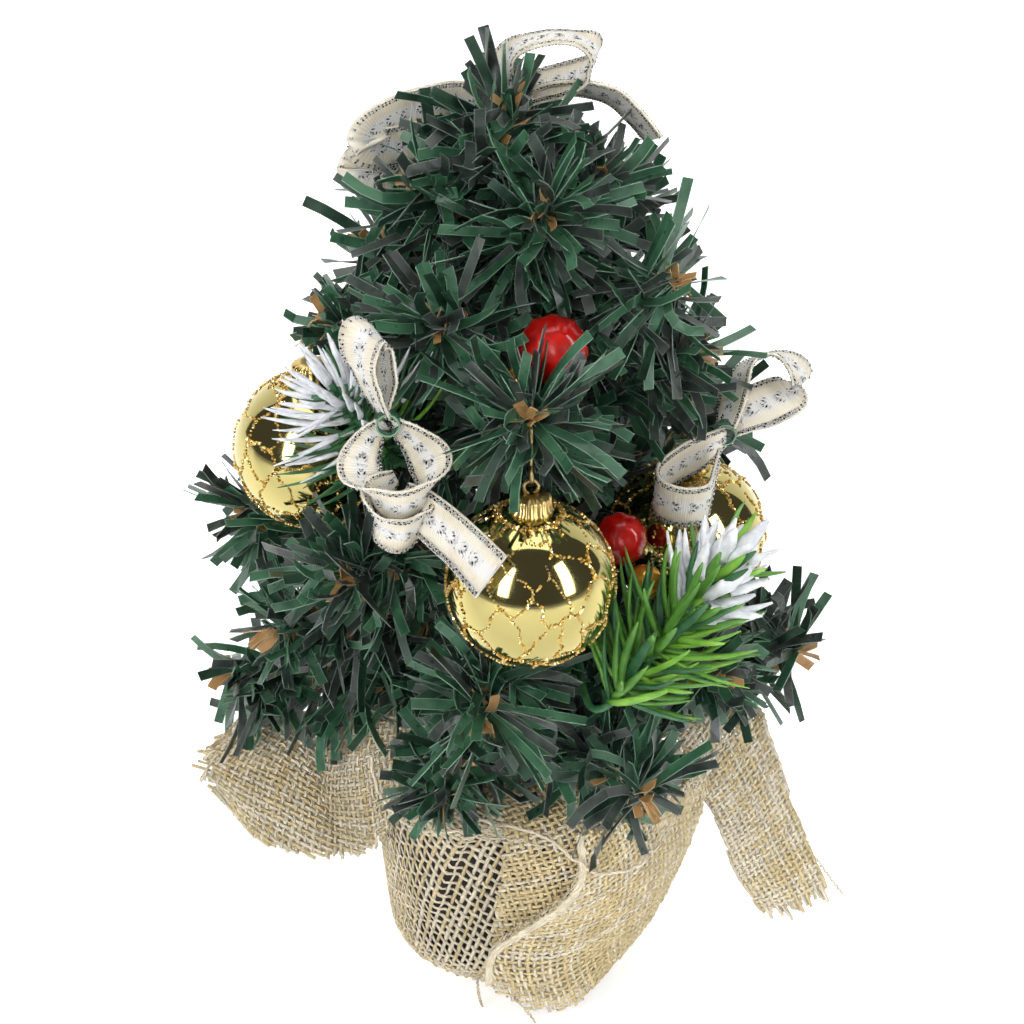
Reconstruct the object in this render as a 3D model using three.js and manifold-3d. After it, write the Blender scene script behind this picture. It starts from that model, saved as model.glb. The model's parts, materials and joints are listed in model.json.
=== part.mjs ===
// Artificial tabletop tree: a weighted pot wrapped in burlap, a wired trunk with tiers of bendable tinsel
// branches, hanging baubles, ribbon bows, pine picks and berries.
// Millimetres, +Z up. The origin is the centre of the underside of the base; -Y is the front of the tree.
// Azimuth is measured from the front (-Y) towards the right (+X), in degrees.
import * as THREE from "three";
import { mergeVertices } from "three/addons/utils/BufferGeometryUtils.js";
import Module from "manifold-3d";

const wasm = await Module();
wasm.setup();

// ---------------------------------------------------------------- driving dimensions
const GAP = 0.3; // clearance between pieces that touch
const CLOTH = 1.0; // thickness of the burlap

const POT = { footRadius: 22, rimRadius: 26.8, underside: CLOTH + GAP, rim: 41, wall: 1.2 };
const CEMENT_TOP = 39.5;
const TRUNK = { radius: 2, bottom: 8, top: 166 };
const TRUNK_WRAP = { outer: 3.6, bottom: 52 };
const NECK = { radius: 9.5, top: 50 };

const BRANCH_ROOT_RADIUS = 4.6; // how far from the trunk's axis a branch starts to bend
const SLEEVE_RADIUS = 6; // the packed core of a branch's needles
// The core's outline: [share of its length, share of its radius].
const SLEEVE_PROFILE = [[0, 0.15], [0.35, 0.86], [0.55, 1], [0.8, 0.87], [1, 0.3]];

// Each tier: the height of its roots, how steeply its branches rise, and each branch's azimuth and length,
// with its own rise where it is bent up from the rest.
const TIERS = [
  { rootZ: 60, rise: -3, branches: [[-18, 45], [32, 44], [92, 54, 4], [176, 52], [-95, 54]] },
  { rootZ: 76, rise: 6, branches: [[-6, 50], [51, 52], [140, 52], [-146, 52], [-70, 51]] },
  { rootZ: 92, rise: 15, branches: [[-42, 48], [125, 52], [-94, 53, 4]] },
  { rootZ: 117, rise: 31, branches: [[4, 52], [80, 40], [178, 52], [-78, 45, 40]] },
  { rootZ: 136, rise: 30, branches: [[-28, 34], [68, 34], [142, 38], [-108, 30]] },
  { rootZ: 153, rise: 50, branches: [[20, 26], [92, 24], [186, 23], [-82, 25]] },
];
const LEADER = { bottom: 167, length: 20 };

const BALL = { radius: 15, wall: 1, neckRadius: 1.8 };
const CAP = { radius: 3.6, height: 3 };
const EYE = { radius: 1.6, wire: 0.4 }; // the ring on a cap, and the eye of the wire that holds it
const BAUBLES = [
  { name: "front", tier: 3, index: 0, radius: 47.5, drop: 4.6 },
  { name: "right", tier: 3, index: 1, radius: 34, drop: 8.2 },
  { name: "back", tier: 3, index: 2, radius: 46, drop: 1 },
  { name: "left", tier: 3, index: 3, radius: 38, drop: 0.3 },
];

const RIBBON = { width: 9, thickness: 0.8 };

// ---------------------------------------------------------------- materials
function paint(color, roughness, metalness = 0) {
  return new THREE.MeshStandardMaterial({ color, roughness, metalness });
}
const MATERIAL = {
  needles: paint(0x24452f, 0.45),
  burlap: paint(0xd9c79b, 0.95),
  potPlastic: paint(0x1b1b1a, 0.6),
  cement: paint(0x9a9892, 0.95),
  wire: paint(0x3c3d3a, 0.5, 0.8),
  wrap: paint(0x27402c, 0.7),
  gold: paint(0xd9b24a, 0.12, 1),
  goldCap: paint(0xc79a3c, 0.35, 1),
  ribbon: paint(0xece4cf, 0.6),
  pick: paint(0x55a52a, 0.5),
  berry: paint(0xc31412, 0.2),
};

// ---------------------------------------------------------------- helpers
const radians = THREE.MathUtils.degToRad;

/** The point at an azimuth, a distance from the trunk's axis and a height. */
function polar(azimuth, radius, z) {
  return new THREE.Vector3(radius * Math.sin(radians(azimuth)), -radius * Math.cos(radians(azimuth)), z);
}

function mesh(name, geometry, material) {
  const made = new THREE.Mesh(geometry, material);
  made.name = name;
  return made;
}

/** A solid of revolution about +Z from [radius, z] points. */
function turned(points, segments = 24) {
  const profile = points.map(([radius, z]) => new THREE.Vector2(radius, z));
  return new THREE.LatheGeometry(profile, segments).rotateX(Math.PI / 2);
}

/** A closed loop of [radius, z] points, for a turned ring. */
const closed = (points) => [...points, points[0]];

/** A round wire along a curve, with flat ends. */
function wire(points, radius, steps = 10, sides = 8) {
  const section = new THREE.Shape().absarc(0, 0, radius, 0, 2 * Math.PI);
  const extrudePath = new THREE.CatmullRomCurve3(points);
  const options = { extrudePath, steps, curveSegments: sides / 2, bevelEnabled: false };
  return new THREE.ExtrudeGeometry(section, options);
}

function solidOf(geometry) {
  const bare = new THREE.BufferGeometry().setAttribute("position", geometry.getAttribute("position"));
  const merged = mergeVertices(bare.setIndex(geometry.getIndex()), 1e-3);
  const vertProperties = merged.attributes.position.array;
  const triVerts = new Uint32Array(merged.index.array);
  return new wasm.Manifold(new wasm.Mesh({ numProp: 3, vertProperties, triVerts }));
}

/** One geometry from several that overlap. */
function joined(...geometries) {
  const solid = geometries.map(solidOf).reduce((sum, next) => sum.add(next));
  const { vertProperties, triVerts } = solid.getMesh();
  return new THREE.BufferGeometry()
    .setAttribute("position", new THREE.BufferAttribute(vertProperties, 3))
    .setIndex(new THREE.BufferAttribute(triVerts, 1));
}

/** Turns geometry made along +Z so that it points along a direction. */
function aim(object, direction) {
  object.quaternion.setFromUnitVectors(new THREE.Vector3(0, 0, 1), direction.clone().normalize());
  return object;
}

/** The convex core of a bushy sprig along +Z: thin at its wire, full in the middle and blunt at its tip. */
function sleeve(length, radius) {
  const profile = SLEEVE_PROFILE.map(([along, share]) => [share * radius, along * length]);
  return turned([[0, 0], ...profile, [0, length]], 8);
}

/** How far the core reaches from its axis, at a share of its length. */
function sleeveReach(along, radius) {
  const next = SLEEVE_PROFILE.findIndex(([at]) => at >= along);
  const [a, ra] = SLEEVE_PROFILE[next - 1];
  const [b, rb] = SLEEVE_PROFILE[next];
  return radius * THREE.MathUtils.mapLinear(along, a, b, ra, rb);
}

// ---------------------------------------------------------------- base
function potCup() {
  const { footRadius, rimRadius, underside, rim, wall } = POT;
  return turned([
    [0, underside],
    [footRadius, underside],
    [rimRadius, rim],
    [rimRadius - wall, rim],
    [footRadius - wall, underside + wall],
    [0, underside + wall],
  ]);
}

function cementPlug() {
  const floor = POT.underside + POT.wall + GAP;
  const flare = (POT.rimRadius - POT.footRadius) / (POT.rim - POT.underside);
  const inside = (z) => POT.footRadius - POT.wall - GAP - 0.1 + flare * (z - floor);
  return turned([
    [0, floor],
    [inside(floor), floor],
    [inside(CEMENT_TOP), CEMENT_TOP],
    [TRUNK.radius + GAP, CEMENT_TOP],
    [TRUNK.radius + GAP, TRUNK.bottom - GAP],
    [0, TRUNK.bottom - GAP],
  ]);
}

function trunkRod() {
  const { radius, bottom, top } = TRUNK;
  return turned([[0, bottom], [radius, bottom], [radius, top], [0, top]], 12);
}

/** The binding that holds every branch's wire to the trunk. */
function trunkWrap() {
  const inner = TRUNK.radius + GAP;
  const { outer, bottom } = TRUNK_WRAP;
  return turned(closed([[inner, bottom], [outer, bottom], [outer, TRUNK.top], [inner, TRUNK.top]]), 12);
}

/** The cloth under and round the pot, drawn in over the rim to a neck. */
function burlapWrap() {
  const outer = [
    [0, 0],
    [23, 0],
    [25, 2.5],
    [28.9, 40],
    [27.4, 43.6],
    [NECK.radius + 1.2, 46.6],
    [NECK.radius, NECK.top],
  ];
  const inner = [
    [NECK.radius - CLOTH, NECK.top],
    [NECK.radius + 0.4, 45.7],
    [26.6, 42.6],
    [27.7, 40],
    [24, 2.9],
    [22.6, CLOTH],
    [0, CLOTH],
  ];
  return turned([...outer, ...inner]);
}

function neckTie() {
  return new THREE.TorusGeometry(NECK.radius + 1.3, 0.6, 6, 24).translate(0, 0, 48.4);
}

/**
 * A corner of the cloth that comes out of the neck. path holds [radius, z] points from the neck outwards,
 * halfWidths the cloth's half width along it, swing how many degrees it turns sideways on the way, and
 * droop how much lower its right edge hangs than its left at its end.
 */
function flap({ azimuth, path, halfWidths, swing = 0, droop = 0 }) {
  const line = new THREE.SplineCurve(path.map(([radius, z]) => new THREE.Vector2(radius, z)));
  const widths = new THREE.SplineCurve(halfWidths.map((w, i) => new THREE.Vector2(i, w)));
  const geometry = new THREE.BoxGeometry(2, 1, 1, 6, 10, 1);
  const at = geometry.getAttribute("position");
  for (let i = 0; i < at.count; i++) {
    const across = -at.getX(i);
    const along = at.getY(i) + 0.5;
    const [radius, z] = line.getPoint(along).toArray();
    const tangent = line.getTangent(along);
    const sideways = across * widths.getPoint(along).y;
    const lift = at.getZ(i) * CLOTH;
    const place = polar(azimuth + swing * along, radius - tangent.y * lift, z + tangent.x * lift);
    const side = polar(azimuth + swing * along + 90, sideways, 0);
    place.add(side);
    place.z -= droop * across * along;
    at.setXYZ(i, place.x, place.y, place.z);
  }
  return geometry;
}

// The corner of cloth that comes out at the right, turns over a fold, and hangs facing the front. Each row
// runs across it from its far edge to its near edge, and the rows follow each other from the neck down.
const RIGHT_TAIL = [
  [[11, 4.6, 50.3], [12, 1.5, 50.4], [12, -1.5, 50.4], [11, -4.6, 50.3]],
  [[26, 9, 48.7], [27, 3, 49.5], [27, -3, 49.5], [26, -8, 48.7]],
  [[48.5, 3, 48.8], [44, 0, 49.4], [39, -3, 49.2], [33.5, -7, 48.2]],
  [[52.5, 0.5, 42], [48.5, -2, 42.5], [43.5, -5, 42], [37.5, -8.5, 41]],
  [[54.8, 0, 31], [51, -2.5, 30], [46, -5, 29], [41.2, -8, 27.5]],
  [[60, -0.5, 19], [56, -2.5, 16], [51, -4.5, 14], [46, -7, 13]],
  [[63.5, -1, 10.5], [59.5, -3, 7.5], [54, -4.5, 6], [49, -6.5, 6.5]],
];

/** A closed sheet of cloth whose middle passes through the rows' points. */
function panel(rows) {
  const lines = rows.map((row) => new THREE.CatmullRomCurve3(row.map((p) => new THREE.Vector3(...p))));
  const middle = (u, v) => new THREE.CatmullRomCurve3(lines.map((line) => line.getPoint(u))).getPoint(v);
  const geometry = new THREE.BoxGeometry(1, 1, 1, 6, 14, 1);
  const at = geometry.getAttribute("position");
  for (let i = 0; i < at.count; i++) {
    const u = at.getX(i) + 0.5;
    const v = at.getY(i) + 0.5;
    const step = 0.01;
    const across = middle(Math.min(u + step, 1), v).sub(middle(Math.max(u - step, 0), v));
    const along = middle(u, Math.min(v + step, 1)).sub(middle(u, Math.max(v - step, 0)));
    const normal = across.cross(along).normalize();
    const place = middle(u, v).addScaledVector(normal, at.getZ(i) * CLOTH);
    at.setXYZ(i, place.x, place.y, place.z);
  }
  return geometry;
}

function base() {
  const group = new THREE.Group();
  group.add(mesh("base_pot", potCup(), MATERIAL.potPlastic));
  group.add(mesh("cement_weight", cementPlug(), MATERIAL.cement));
  group.add(mesh("trunk_rod", trunkRod(), MATERIAL.wire));
  group.add(mesh("trunk_wrap", trunkWrap(), MATERIAL.wrap));
  group.add(mesh("burlap_wrap", burlapWrap(), MATERIAL.burlap));
  group.add(mesh("neck_tie", neckTie(), MATERIAL.wire));
  const flaps = {
    burlap_left_wing: {
      azimuth: -94,
      path: [[13, 50.5], [28, 46.5], [45, 39.5], [61.5, 38]],
      halfWidths: [5, 16, 14, 6],
      droop: 9,
    },
    burlap_front_drape: {
      azimuth: 22,
      path: [[13, 50.5], [27, 48], [32.5, 42], [33, 28], [34, 14], [35, 6]],
      halfWidths: [5, 12, 17, 17, 14, 9],
    },
    burlap_back_wing: {
      azimuth: 172,
      path: [[13, 50.5], [28, 48.5], [43, 43], [56, 34]],
      halfWidths: [5, 16, 18, 7],
      droop: -5,
    },
  };
  for (const [name, shape] of Object.entries(flaps)) group.add(mesh(name, flap(shape), MATERIAL.burlap));
  group.add(mesh("burlap_right_tail", panel(RIGHT_TAIL), MATERIAL.burlap));
  return group;
}

// ---------------------------------------------------------------- branches
/** A bendable branch in a group at its root, so that the group's own origin is the branch's pivot. */
function branch(name, rootZ, azimuth, length, rise) {
  const group = new THREE.Group();
  group.position.copy(polar(azimuth, BRANCH_ROOT_RADIUS, rootZ));
  const outward = polar(azimuth, Math.cos(radians(rise)), Math.sin(radians(rise)));
  group.add(aim(mesh(name, sleeve(length, SLEEVE_RADIUS), MATERIAL.needles), outward));
  return group;
}

/** The height of a branch's underside at a distance from the trunk's axis. */
function branchUnderside(rootZ, rise, length, radius) {
  const angle = radians(rise);
  let along = 0.5;
  let reach = SLEEVE_RADIUS;
  for (let pass = 0; pass < 20; pass++) {
    along = (radius - BRANCH_ROOT_RADIUS - reach * Math.sin(angle)) / Math.cos(angle);
    reach = sleeveReach(along / length, SLEEVE_RADIUS);
  }
  return rootZ + along * Math.sin(angle) - reach * Math.cos(angle);
}

function leader() {
  const group = new THREE.Group();
  group.position.set(0, 0, LEADER.bottom);
  group.add(mesh("branch_leader", sleeve(LEADER.length, SLEEVE_RADIUS), MATERIAL.needles));
  return group;
}

// ---------------------------------------------------------------- baubles
/** A hollow ball with a small neck hole, centred on its own origin. */
function hollowBall() {
  const { radius, wall, neckRadius } = BALL;
  const arc = (r, from, to, steps) =>
    Array.from({ length: steps + 1 }, (_, i) => {
      const angle = from + ((to - from) * i) / steps;
      return [r * Math.sin(angle), -r * Math.cos(angle)];
    });
  const outerStop = Math.PI - Math.asin(neckRadius / radius);
  const innerStop = Math.PI - Math.asin(neckRadius / (radius - wall));
  return turned([...arc(radius, 0, outerStop, 10), ...arc(radius - wall, innerStop, 0, 8)], 16);
}

/** A cap with its ring standing on it, measured from the ball's centre. */
function cap() {
  const foot = BALL.radius + GAP;
  const top = foot + CAP.height;
  const crown = turned([[0, foot], [CAP.radius, foot], [CAP.radius * 0.9, top], [0, top]], 12);
  const ring = new THREE.TorusGeometry(EYE.radius, EYE.wire, 6, 12).rotateX(Math.PI / 2).rotateZ(Math.PI / 2);
  return joined(crown, ring.translate(0, 0, top + 0.7 * EYE.radius));
}
// Heights above the ball's centre: the middle of the wire at the ring's top, the middle of the wire of
// the eye under it, and the point between them about which the bauble swings.
const CAP_RING_TOP = BALL.radius + GAP + CAP.height + 1.7 * EYE.radius;
const EYE_BOTTOM = CAP_RING_TOP - 2 * EYE.wire - GAP;
const PIVOT = (CAP_RING_TOP + EYE_BOTTOM) / 2;

/** The wire that comes down from a branch and ends in an eye, measured from the ball's centre. */
function hook(top) {
  const eyeTop = EYE_BOTTOM + 2 * EYE.radius;
  const eye = new THREE.TorusGeometry(EYE.radius, EYE.wire, 6, 12).rotateX(Math.PI / 2);
  const stem = new THREE.CylinderGeometry(EYE.wire, EYE.wire, top - eyeTop + 0.3, 8).rotateX(Math.PI / 2);
  return joined(
    eye.translate(0, 0, EYE_BOTTOM + EYE.radius),
    stem.translate(0, 0, (top + eyeTop - 0.3) / 2),
  );
}

/** Hangs a bauble under its branch. branchGroup is the branch's own group, in which it is placed. */
function hangBauble(branchGroup, { name, tier, index, radius, drop }) {
  const { rootZ, rise: tierRise, branches } = TIERS[tier];
  const [azimuth, length, rise = tierRise] = branches[index];
  const hookTop = EYE_BOTTOM + 2 * EYE.radius + drop;
  const clearance = 3 * GAP + 2 * EYE.wire * Math.tan(radians(rise));
  const under = branchUnderside(rootZ, rise, length, radius);
  const centre = polar(azimuth, radius, under - clearance - hookTop);

  const wireGroup = new THREE.Group();
  wireGroup.position.copy(centre).sub(branchGroup.position);
  wireGroup.rotation.z = radians(azimuth + 90);
  wireGroup.add(mesh(`bauble_${name}_hook`, hook(hookTop), MATERIAL.wire));
  branchGroup.add(wireGroup);

  const swinging = new THREE.Group(); // turns about the point where its ring rests on the eye
  swinging.position.copy(wireGroup.position);
  swinging.position.z += PIVOT;
  swinging.rotation.z = wireGroup.rotation.z;
  const ball = mesh(`bauble_${name}_ball`, hollowBall(), MATERIAL.gold);
  const crown = mesh(`bauble_${name}_cap`, cap(), MATERIAL.goldCap);
  for (const piece of [ball, crown]) {
    piece.position.z = -PIVOT;
    swinging.add(piece);
  }
  branchGroup.add(swinging);
}

function foliage() {
  const group = new THREE.Group();
  TIERS.forEach((tier, t) => {
    tier.branches.forEach(([azimuth, length, rise = tier.rise], i) => {
      const made = branch(`branch_${t + 1}_${i + 1}`, tier.rootZ, azimuth, length, rise);
      for (const bauble of BAUBLES) if (bauble.tier === t && bauble.index === i) hangBauble(made, bauble);
      group.add(made);
    });
  });
  group.add(leader());
  return group;
}

// ---------------------------------------------------------------- bows
/** One loop of ribbon, reaching from the knot along +X. */
function ribbonLoop(length, depth) {
  const outline = new THREE.Shape().absellipse(length / 2, 0, length / 2, depth / 2, 0, 2 * Math.PI);
  const { width, thickness } = RIBBON;
  const inside = new THREE.Path();
  inside.absellipse(length / 2, 0, length / 2 - thickness, depth / 2 - thickness, 0, 2 * Math.PI);
  outline.holes.push(inside);
  const options = { depth: width, bevelEnabled: false, curveSegments: 6 };
  return new THREE.ExtrudeGeometry(outline, options).translate(0, 0, -width / 2);
}

/** Loops and tails of ribbon that come out of a knot, each turned about the knot's axis by its angle. */
function ribbonBow(loops, tails) {
  const turn = (geometry, angle) => geometry.rotateY(-radians(angle));
  const knot = new THREE.BoxGeometry(5, 4, RIBBON.width * 0.6);
  const pieces = loops.map(({ length, depth, angle }) => turn(ribbonLoop(length, depth), angle));
  for (const { length, angle } of tails) {
    const tail = new THREE.BoxGeometry(length, RIBBON.thickness, RIBBON.width);
    pieces.push(turn(tail.translate(length / 2, 0, 0), angle));
  }
  return joined(knot, ...pieces);
}

// tie is where each bow's wire meets the trunk's binding.
const BOWS = {
  bow_left: {
    place: polar(-31, 50, 127),
    facing: -31,
    tie: { azimuth: -31, z: 124 },
    loops: [{ length: 17, depth: 7, angle: 105 }, { length: 12, depth: 7, angle: -110 }],
    tails: [{ length: 14, angle: -25 }],
  },
  bow_right: {
    place: new THREE.Vector3(41, -13, 122),
    facing: 15,
    tie: { azimuth: 60, z: 108 },
    loops: [{ length: 17, depth: 7, angle: 35 }, { length: 14, depth: 7, angle: 205 }],
    tails: [],
  },
  bow_back: {
    place: polar(216, 45, 129),
    facing: 216,
    tie: { azimuth: 216, z: 126 },
    loops: [{ length: 16, depth: 7, angle: 20 }, { length: 16, depth: 7, angle: 160 }],
    tails: [{ length: 14, angle: -70 }],
  },
  bow_top: {
    place: new THREE.Vector3(-6, 11.5, 179),
    facing: 0,
    tie: { azimuth: 235, z: 163 },
    loops: [{ length: 21, depth: 8, angle: 198 }, { length: 21, depth: 8, angle: 38 }],
    tails: [{ length: 30, angle: -8 }],
  },
};

/** A bow with the wire that ties it to the trunk. */
function bow({ place, facing, tie, loops, tails }) {
  const ribbon = ribbonBow(loops, tails).rotateZ(radians(facing)).translate(place.x, place.y, place.z);
  const root = polar(tie.azimuth, TRUNK_WRAP.outer + 2 * GAP, tie.z);
  return joined(ribbon, wire([place, root], 0.6, 1));
}

// ---------------------------------------------------------------- pine picks and berries
const PICKS = {
  pick_right: { root: { azimuth: 40, z: 84 }, start: [17, -44, 86], end: [40, -34, 110] },
  pick_left: { root: { azimuth: -50, z: 108 }, start: [-20, -25, 125], end: [-35, -26, 147] },
  pick_back: { root: { azimuth: 235, z: 84 }, start: [-31, 22, 85], end: [-41, 29, 109] },
};

/** A moulded pine pick: a wire stem bound to the trunk, and a bushy sprig on its end. */
function pick(name, { root, start, end }) {
  const group = new THREE.Group();
  const origin = polar(root.azimuth, BRANCH_ROOT_RADIUS, root.z);
  group.position.copy(origin);
  const from = new THREE.Vector3(...start).sub(origin);
  const along = new THREE.Vector3(...end).sub(origin).sub(from);
  const direction = along.clone().normalize();
  const stemEnd = from.clone().addScaledVector(direction, -3 * GAP);
  const middle = stemEnd.clone().multiplyScalar(0.6);
  const stemPoints = [new THREE.Vector3(), middle, stemEnd];
  group.add(mesh(`${name}_stem`, wire(stemPoints, 0.7), MATERIAL.wire));
  const sprig = aim(mesh(`${name}_sprig`, sleeve(along.length(), 5.5), MATERIAL.pick), along);
  sprig.position.copy(from);
  group.add(sprig);
  return group;
}

const BERRIES = {
  berry_front: { place: [6.5, -25, 145], radius: 7 },
  berry_right: { place: [19, -23, 105], radius: 6 },
};

/** A berry on a short wire stem that reaches it from the trunk's binding. */
function berry({ place, radius }) {
  const centre = new THREE.Vector3(...place);
  const inward = new THREE.Vector3(-centre.x, -centre.y, 0).normalize();
  const reach = Math.hypot(centre.x, centre.y) - TRUNK_WRAP.outer - GAP;
  const ball = new THREE.SphereGeometry(radius, 14, 10).translate(centre.x, centre.y, centre.z);
  const inside = centre.clone().addScaledVector(inward, 0.5 * radius);
  const root = centre.clone().addScaledVector(inward, reach);
  return joined(ball, wire([inside, root], 0.6, 1));
}

const tree = new THREE.Group();
tree.add(base(), foliage());
for (const [name, shape] of Object.entries(BOWS)) tree.add(mesh(name, bow(shape), MATERIAL.ribbon));
for (const [name, shape] of Object.entries(PICKS)) tree.add(pick(name, shape));
for (const [name, shape] of Object.entries(BERRIES)) tree.add(mesh(name, berry(shape), MATERIAL.berry));

export default tree;
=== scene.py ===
import json
import math

import bpy
import numpy as np
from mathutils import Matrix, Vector
from mathutils.bvhtree import BVHTree


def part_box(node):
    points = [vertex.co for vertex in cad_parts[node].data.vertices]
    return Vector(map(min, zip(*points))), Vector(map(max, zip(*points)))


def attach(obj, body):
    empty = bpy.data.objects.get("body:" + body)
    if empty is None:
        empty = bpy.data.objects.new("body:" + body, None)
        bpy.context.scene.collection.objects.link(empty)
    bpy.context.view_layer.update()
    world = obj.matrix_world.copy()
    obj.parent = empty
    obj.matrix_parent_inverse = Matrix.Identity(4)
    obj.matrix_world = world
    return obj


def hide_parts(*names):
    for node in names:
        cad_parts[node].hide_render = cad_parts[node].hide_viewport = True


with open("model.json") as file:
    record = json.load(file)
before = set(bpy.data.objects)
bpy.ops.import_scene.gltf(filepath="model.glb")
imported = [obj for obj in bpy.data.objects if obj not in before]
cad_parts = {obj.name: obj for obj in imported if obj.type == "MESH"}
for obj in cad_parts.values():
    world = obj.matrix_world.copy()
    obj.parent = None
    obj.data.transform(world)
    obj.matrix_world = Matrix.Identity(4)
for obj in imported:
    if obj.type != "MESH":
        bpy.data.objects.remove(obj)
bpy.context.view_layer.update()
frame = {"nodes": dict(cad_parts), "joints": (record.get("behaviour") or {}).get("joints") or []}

MM = 0.001  # everything below is worked out in millimetres and scaled when its mesh is made
JOINTS = {j["name"]: j for j in frame["joints"]}
UP = np.array([0.0, 0.0, 1.0])

# ---------------------------------------------------------------- camera
CAMERA_AT = Vector((0, -0.485, 0.377))
CAMERA_TARGET = Vector((0, 0, 0.097))
camera_data = bpy.data.cameras.new("camera")
camera_data.lens = 102
camera = bpy.data.objects.new("camera", camera_data)
camera.location = CAMERA_AT
camera.rotation_euler = (CAMERA_TARGET - CAMERA_AT).to_track_quat("-Z", "Y").to_euler()
bpy.context.scene.collection.objects.link(camera)
bpy.context.scene.camera = camera


# ---------------------------------------------------------------- materials
class Nodes:
    """A material's node tree, with short calls for the nodes used here."""

    def __init__(self, name):
        self.material = bpy.data.materials.new(name)
        self.material.use_nodes = True
        self.tree = self.material.node_tree
        self.shader = self.tree.nodes["Principled BSDF"]
        self.coords = self.tree.nodes.new("ShaderNodeTexCoord").outputs["Object"]

    def add(self, kind, **settings):
        node = self.tree.nodes.new("ShaderNode" + kind)
        for key, value in settings.items():
            if key in node.inputs:
                node.inputs[key].default_value = value
            else:
                setattr(node, key, value)
        return node

    def link(self, out, into):
        self.tree.links.new(out, into)

    def noise(self, size_mm, detail=3.0, roughness=0.5):
        """Noise whose features are about size_mm across."""
        node = self.add("TexNoise", Scale=1000.0 / size_mm, Detail=detail, Roughness=roughness)
        self.link(self.coords, node.inputs["Vector"])
        return node.outputs["Fac"]

    def lay(self, scale=(1, 1)):
        """Where a point lies on its body: mm along it, and the share of the way across."""
        mapping = self.add("Mapping")
        mapping.inputs["Scale"].default_value = (*scale, 1)
        self.link(self.add("UVMap", uv_map="lay").outputs["UV"], mapping.inputs["Vector"])
        return mapping.outputs["Vector"]

    def stripes(self, per_mm, across=0.0):
        """Fine lines over a body, with so many waves per mm of its length and per whole way across."""
        scale = 2 * math.pi / 10
        wave = self.add("TexWave", Scale=scale, Distortion=0.4, Detail=1.0, bands_direction="DIAGONAL")
        self.link(self.lay((per_mm, across)), wave.inputs["Vector"])
        return wave.outputs["Fac"]

    def edges(self, low, high):
        """1 along both edges of a flat strip, and 0 inside."""
        split = self.add("SeparateXYZ")
        self.link(self.lay(), split.inputs["Vector"])
        centred = self.add("Math", operation="SUBTRACT")
        centred.inputs[1].default_value = 0.5
        self.link(split.outputs["Y"], centred.inputs[0])
        size = self.add("Math", operation="ABSOLUTE")
        self.link(centred.outputs[0], size.inputs[0])
        return self.span(size.outputs[0], 0, 1, low, high)

    def mix(self, fac, a, b):
        node = self.add("Mix", data_type="RGBA")
        for socket, value in ((node.inputs[6], a), (node.inputs[7], b)):
            if isinstance(value, tuple):
                socket.default_value = (*value, 1)
            else:
                self.link(value, socket)
        self.link(fac, node.inputs[0])
        return node.outputs[2]

    def ramp(self, fac, *stops):
        node = self.add("ValToRGB")
        elements = node.color_ramp.elements
        while len(elements) < len(stops):
            elements.new(0.5)
        for element, (position, color) in zip(elements, stops):
            element.position = position
            element.color = (*color, 1)
        self.link(fac, node.inputs["Fac"])
        return node.outputs["Color"]

    def span(self, fac, low, high, from_low=0.3, from_high=0.7):
        node = self.add("MapRange")
        node.inputs["From Min"].default_value = from_low
        node.inputs["From Max"].default_value = from_high
        node.inputs["To Min"].default_value = low
        node.inputs["To Max"].default_value = high
        self.link(fac, node.inputs["Value"])
        return node.outputs["Result"]

    def bump(self, height, distance_mm):
        node = self.add("Bump", Strength=1.0, Distance=distance_mm * MM)
        self.link(height, node.inputs["Height"])
        previous = self.shader.inputs["Normal"].links
        if previous:
            self.link(previous[0].from_socket, node.inputs["Normal"])
        self.link(node.outputs["Normal"], self.shader.inputs["Normal"])

    def set(self, **values):
        for key, value in values.items():
            self.shader.inputs[key.replace("_", " ")].default_value = value


def mottled(name, dark, light, size_mm, roughness=(0.4, 0.6), bump=None, **constants):
    """A material whose colour and roughness drift between two values. bump is (feature size, depth) in mm."""
    n = Nodes(name)
    fac = n.noise(size_mm)
    n.link(n.ramp(fac, (0.32, dark), (0.68, light)), n.shader.inputs["Base Color"])
    n.link(n.span(n.noise(size_mm * 0.6), *roughness), n.shader.inputs["Roughness"])
    if bump:
        n.bump(n.noise(bump[0], 4.0), bump[1])
    n.set(**constants)
    return n.material


def strip_material(name, dark, light, edge):
    """Cut tinsel: a semi-gloss film with fine ribs, painted shade along the rib grooves and paler cut edges,
    whose colour drifts.
    """
    n = Nodes(name)
    ribs = n.stripes(2.7)
    film = n.ramp(n.noise(5.0, 2.0), (0.35, dark), (0.65, light))
    # painted shade: the film is darkened towards half its dark colour along the rib grooves
    film_with_groove_shade = n.mix(n.span(ribs, 0.0, 0.14, 0.2, 0.9), film, tuple(0.5 * c for c in dark))
    n.link(n.mix(n.edges(0.43, 0.49), film_with_groove_shade, edge), n.shader.inputs["Base Color"])
    n.link(n.span(n.noise(2.0), 0.26, 0.44), n.shader.inputs["Roughness"])
    n.bump(ribs, 0.02)
    n.set(Specular_IOR_Level=0.6)
    return n.material


def yarn_material(name, dark, light):
    """Spun jute: fibres along the yarn, a dry surface and a soft sheen."""
    n = Nodes(name)
    blotch = n.noise(3.2, 5.0, 0.65)
    n.link(n.ramp(blotch, (0.3, dark), (0.62, light)), n.shader.inputs["Base Color"])
    n.link(n.span(blotch, 0.8, 0.95), n.shader.inputs["Roughness"])
    n.bump(n.stripes(0.6, 4.0), 0.08)
    n.bump(n.noise(0.3, 4.0, 0.7), 0.10)
    n.set(Sheen_Weight=0.25, Sheen_Roughness=0.5, Specular_IOR_Level=0.2)
    return n.material


def gold_material(name, color, roughness, bump_mm):
    n = Nodes(name)
    n.link(n.span(n.noise(9.0, 2.0), *roughness), n.shader.inputs["Roughness"])
    n.bump(n.noise(7.0, 1.0), bump_mm)
    n.set(Base_Color=(*color, 1), Metallic=1.0)
    return n.material


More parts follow.
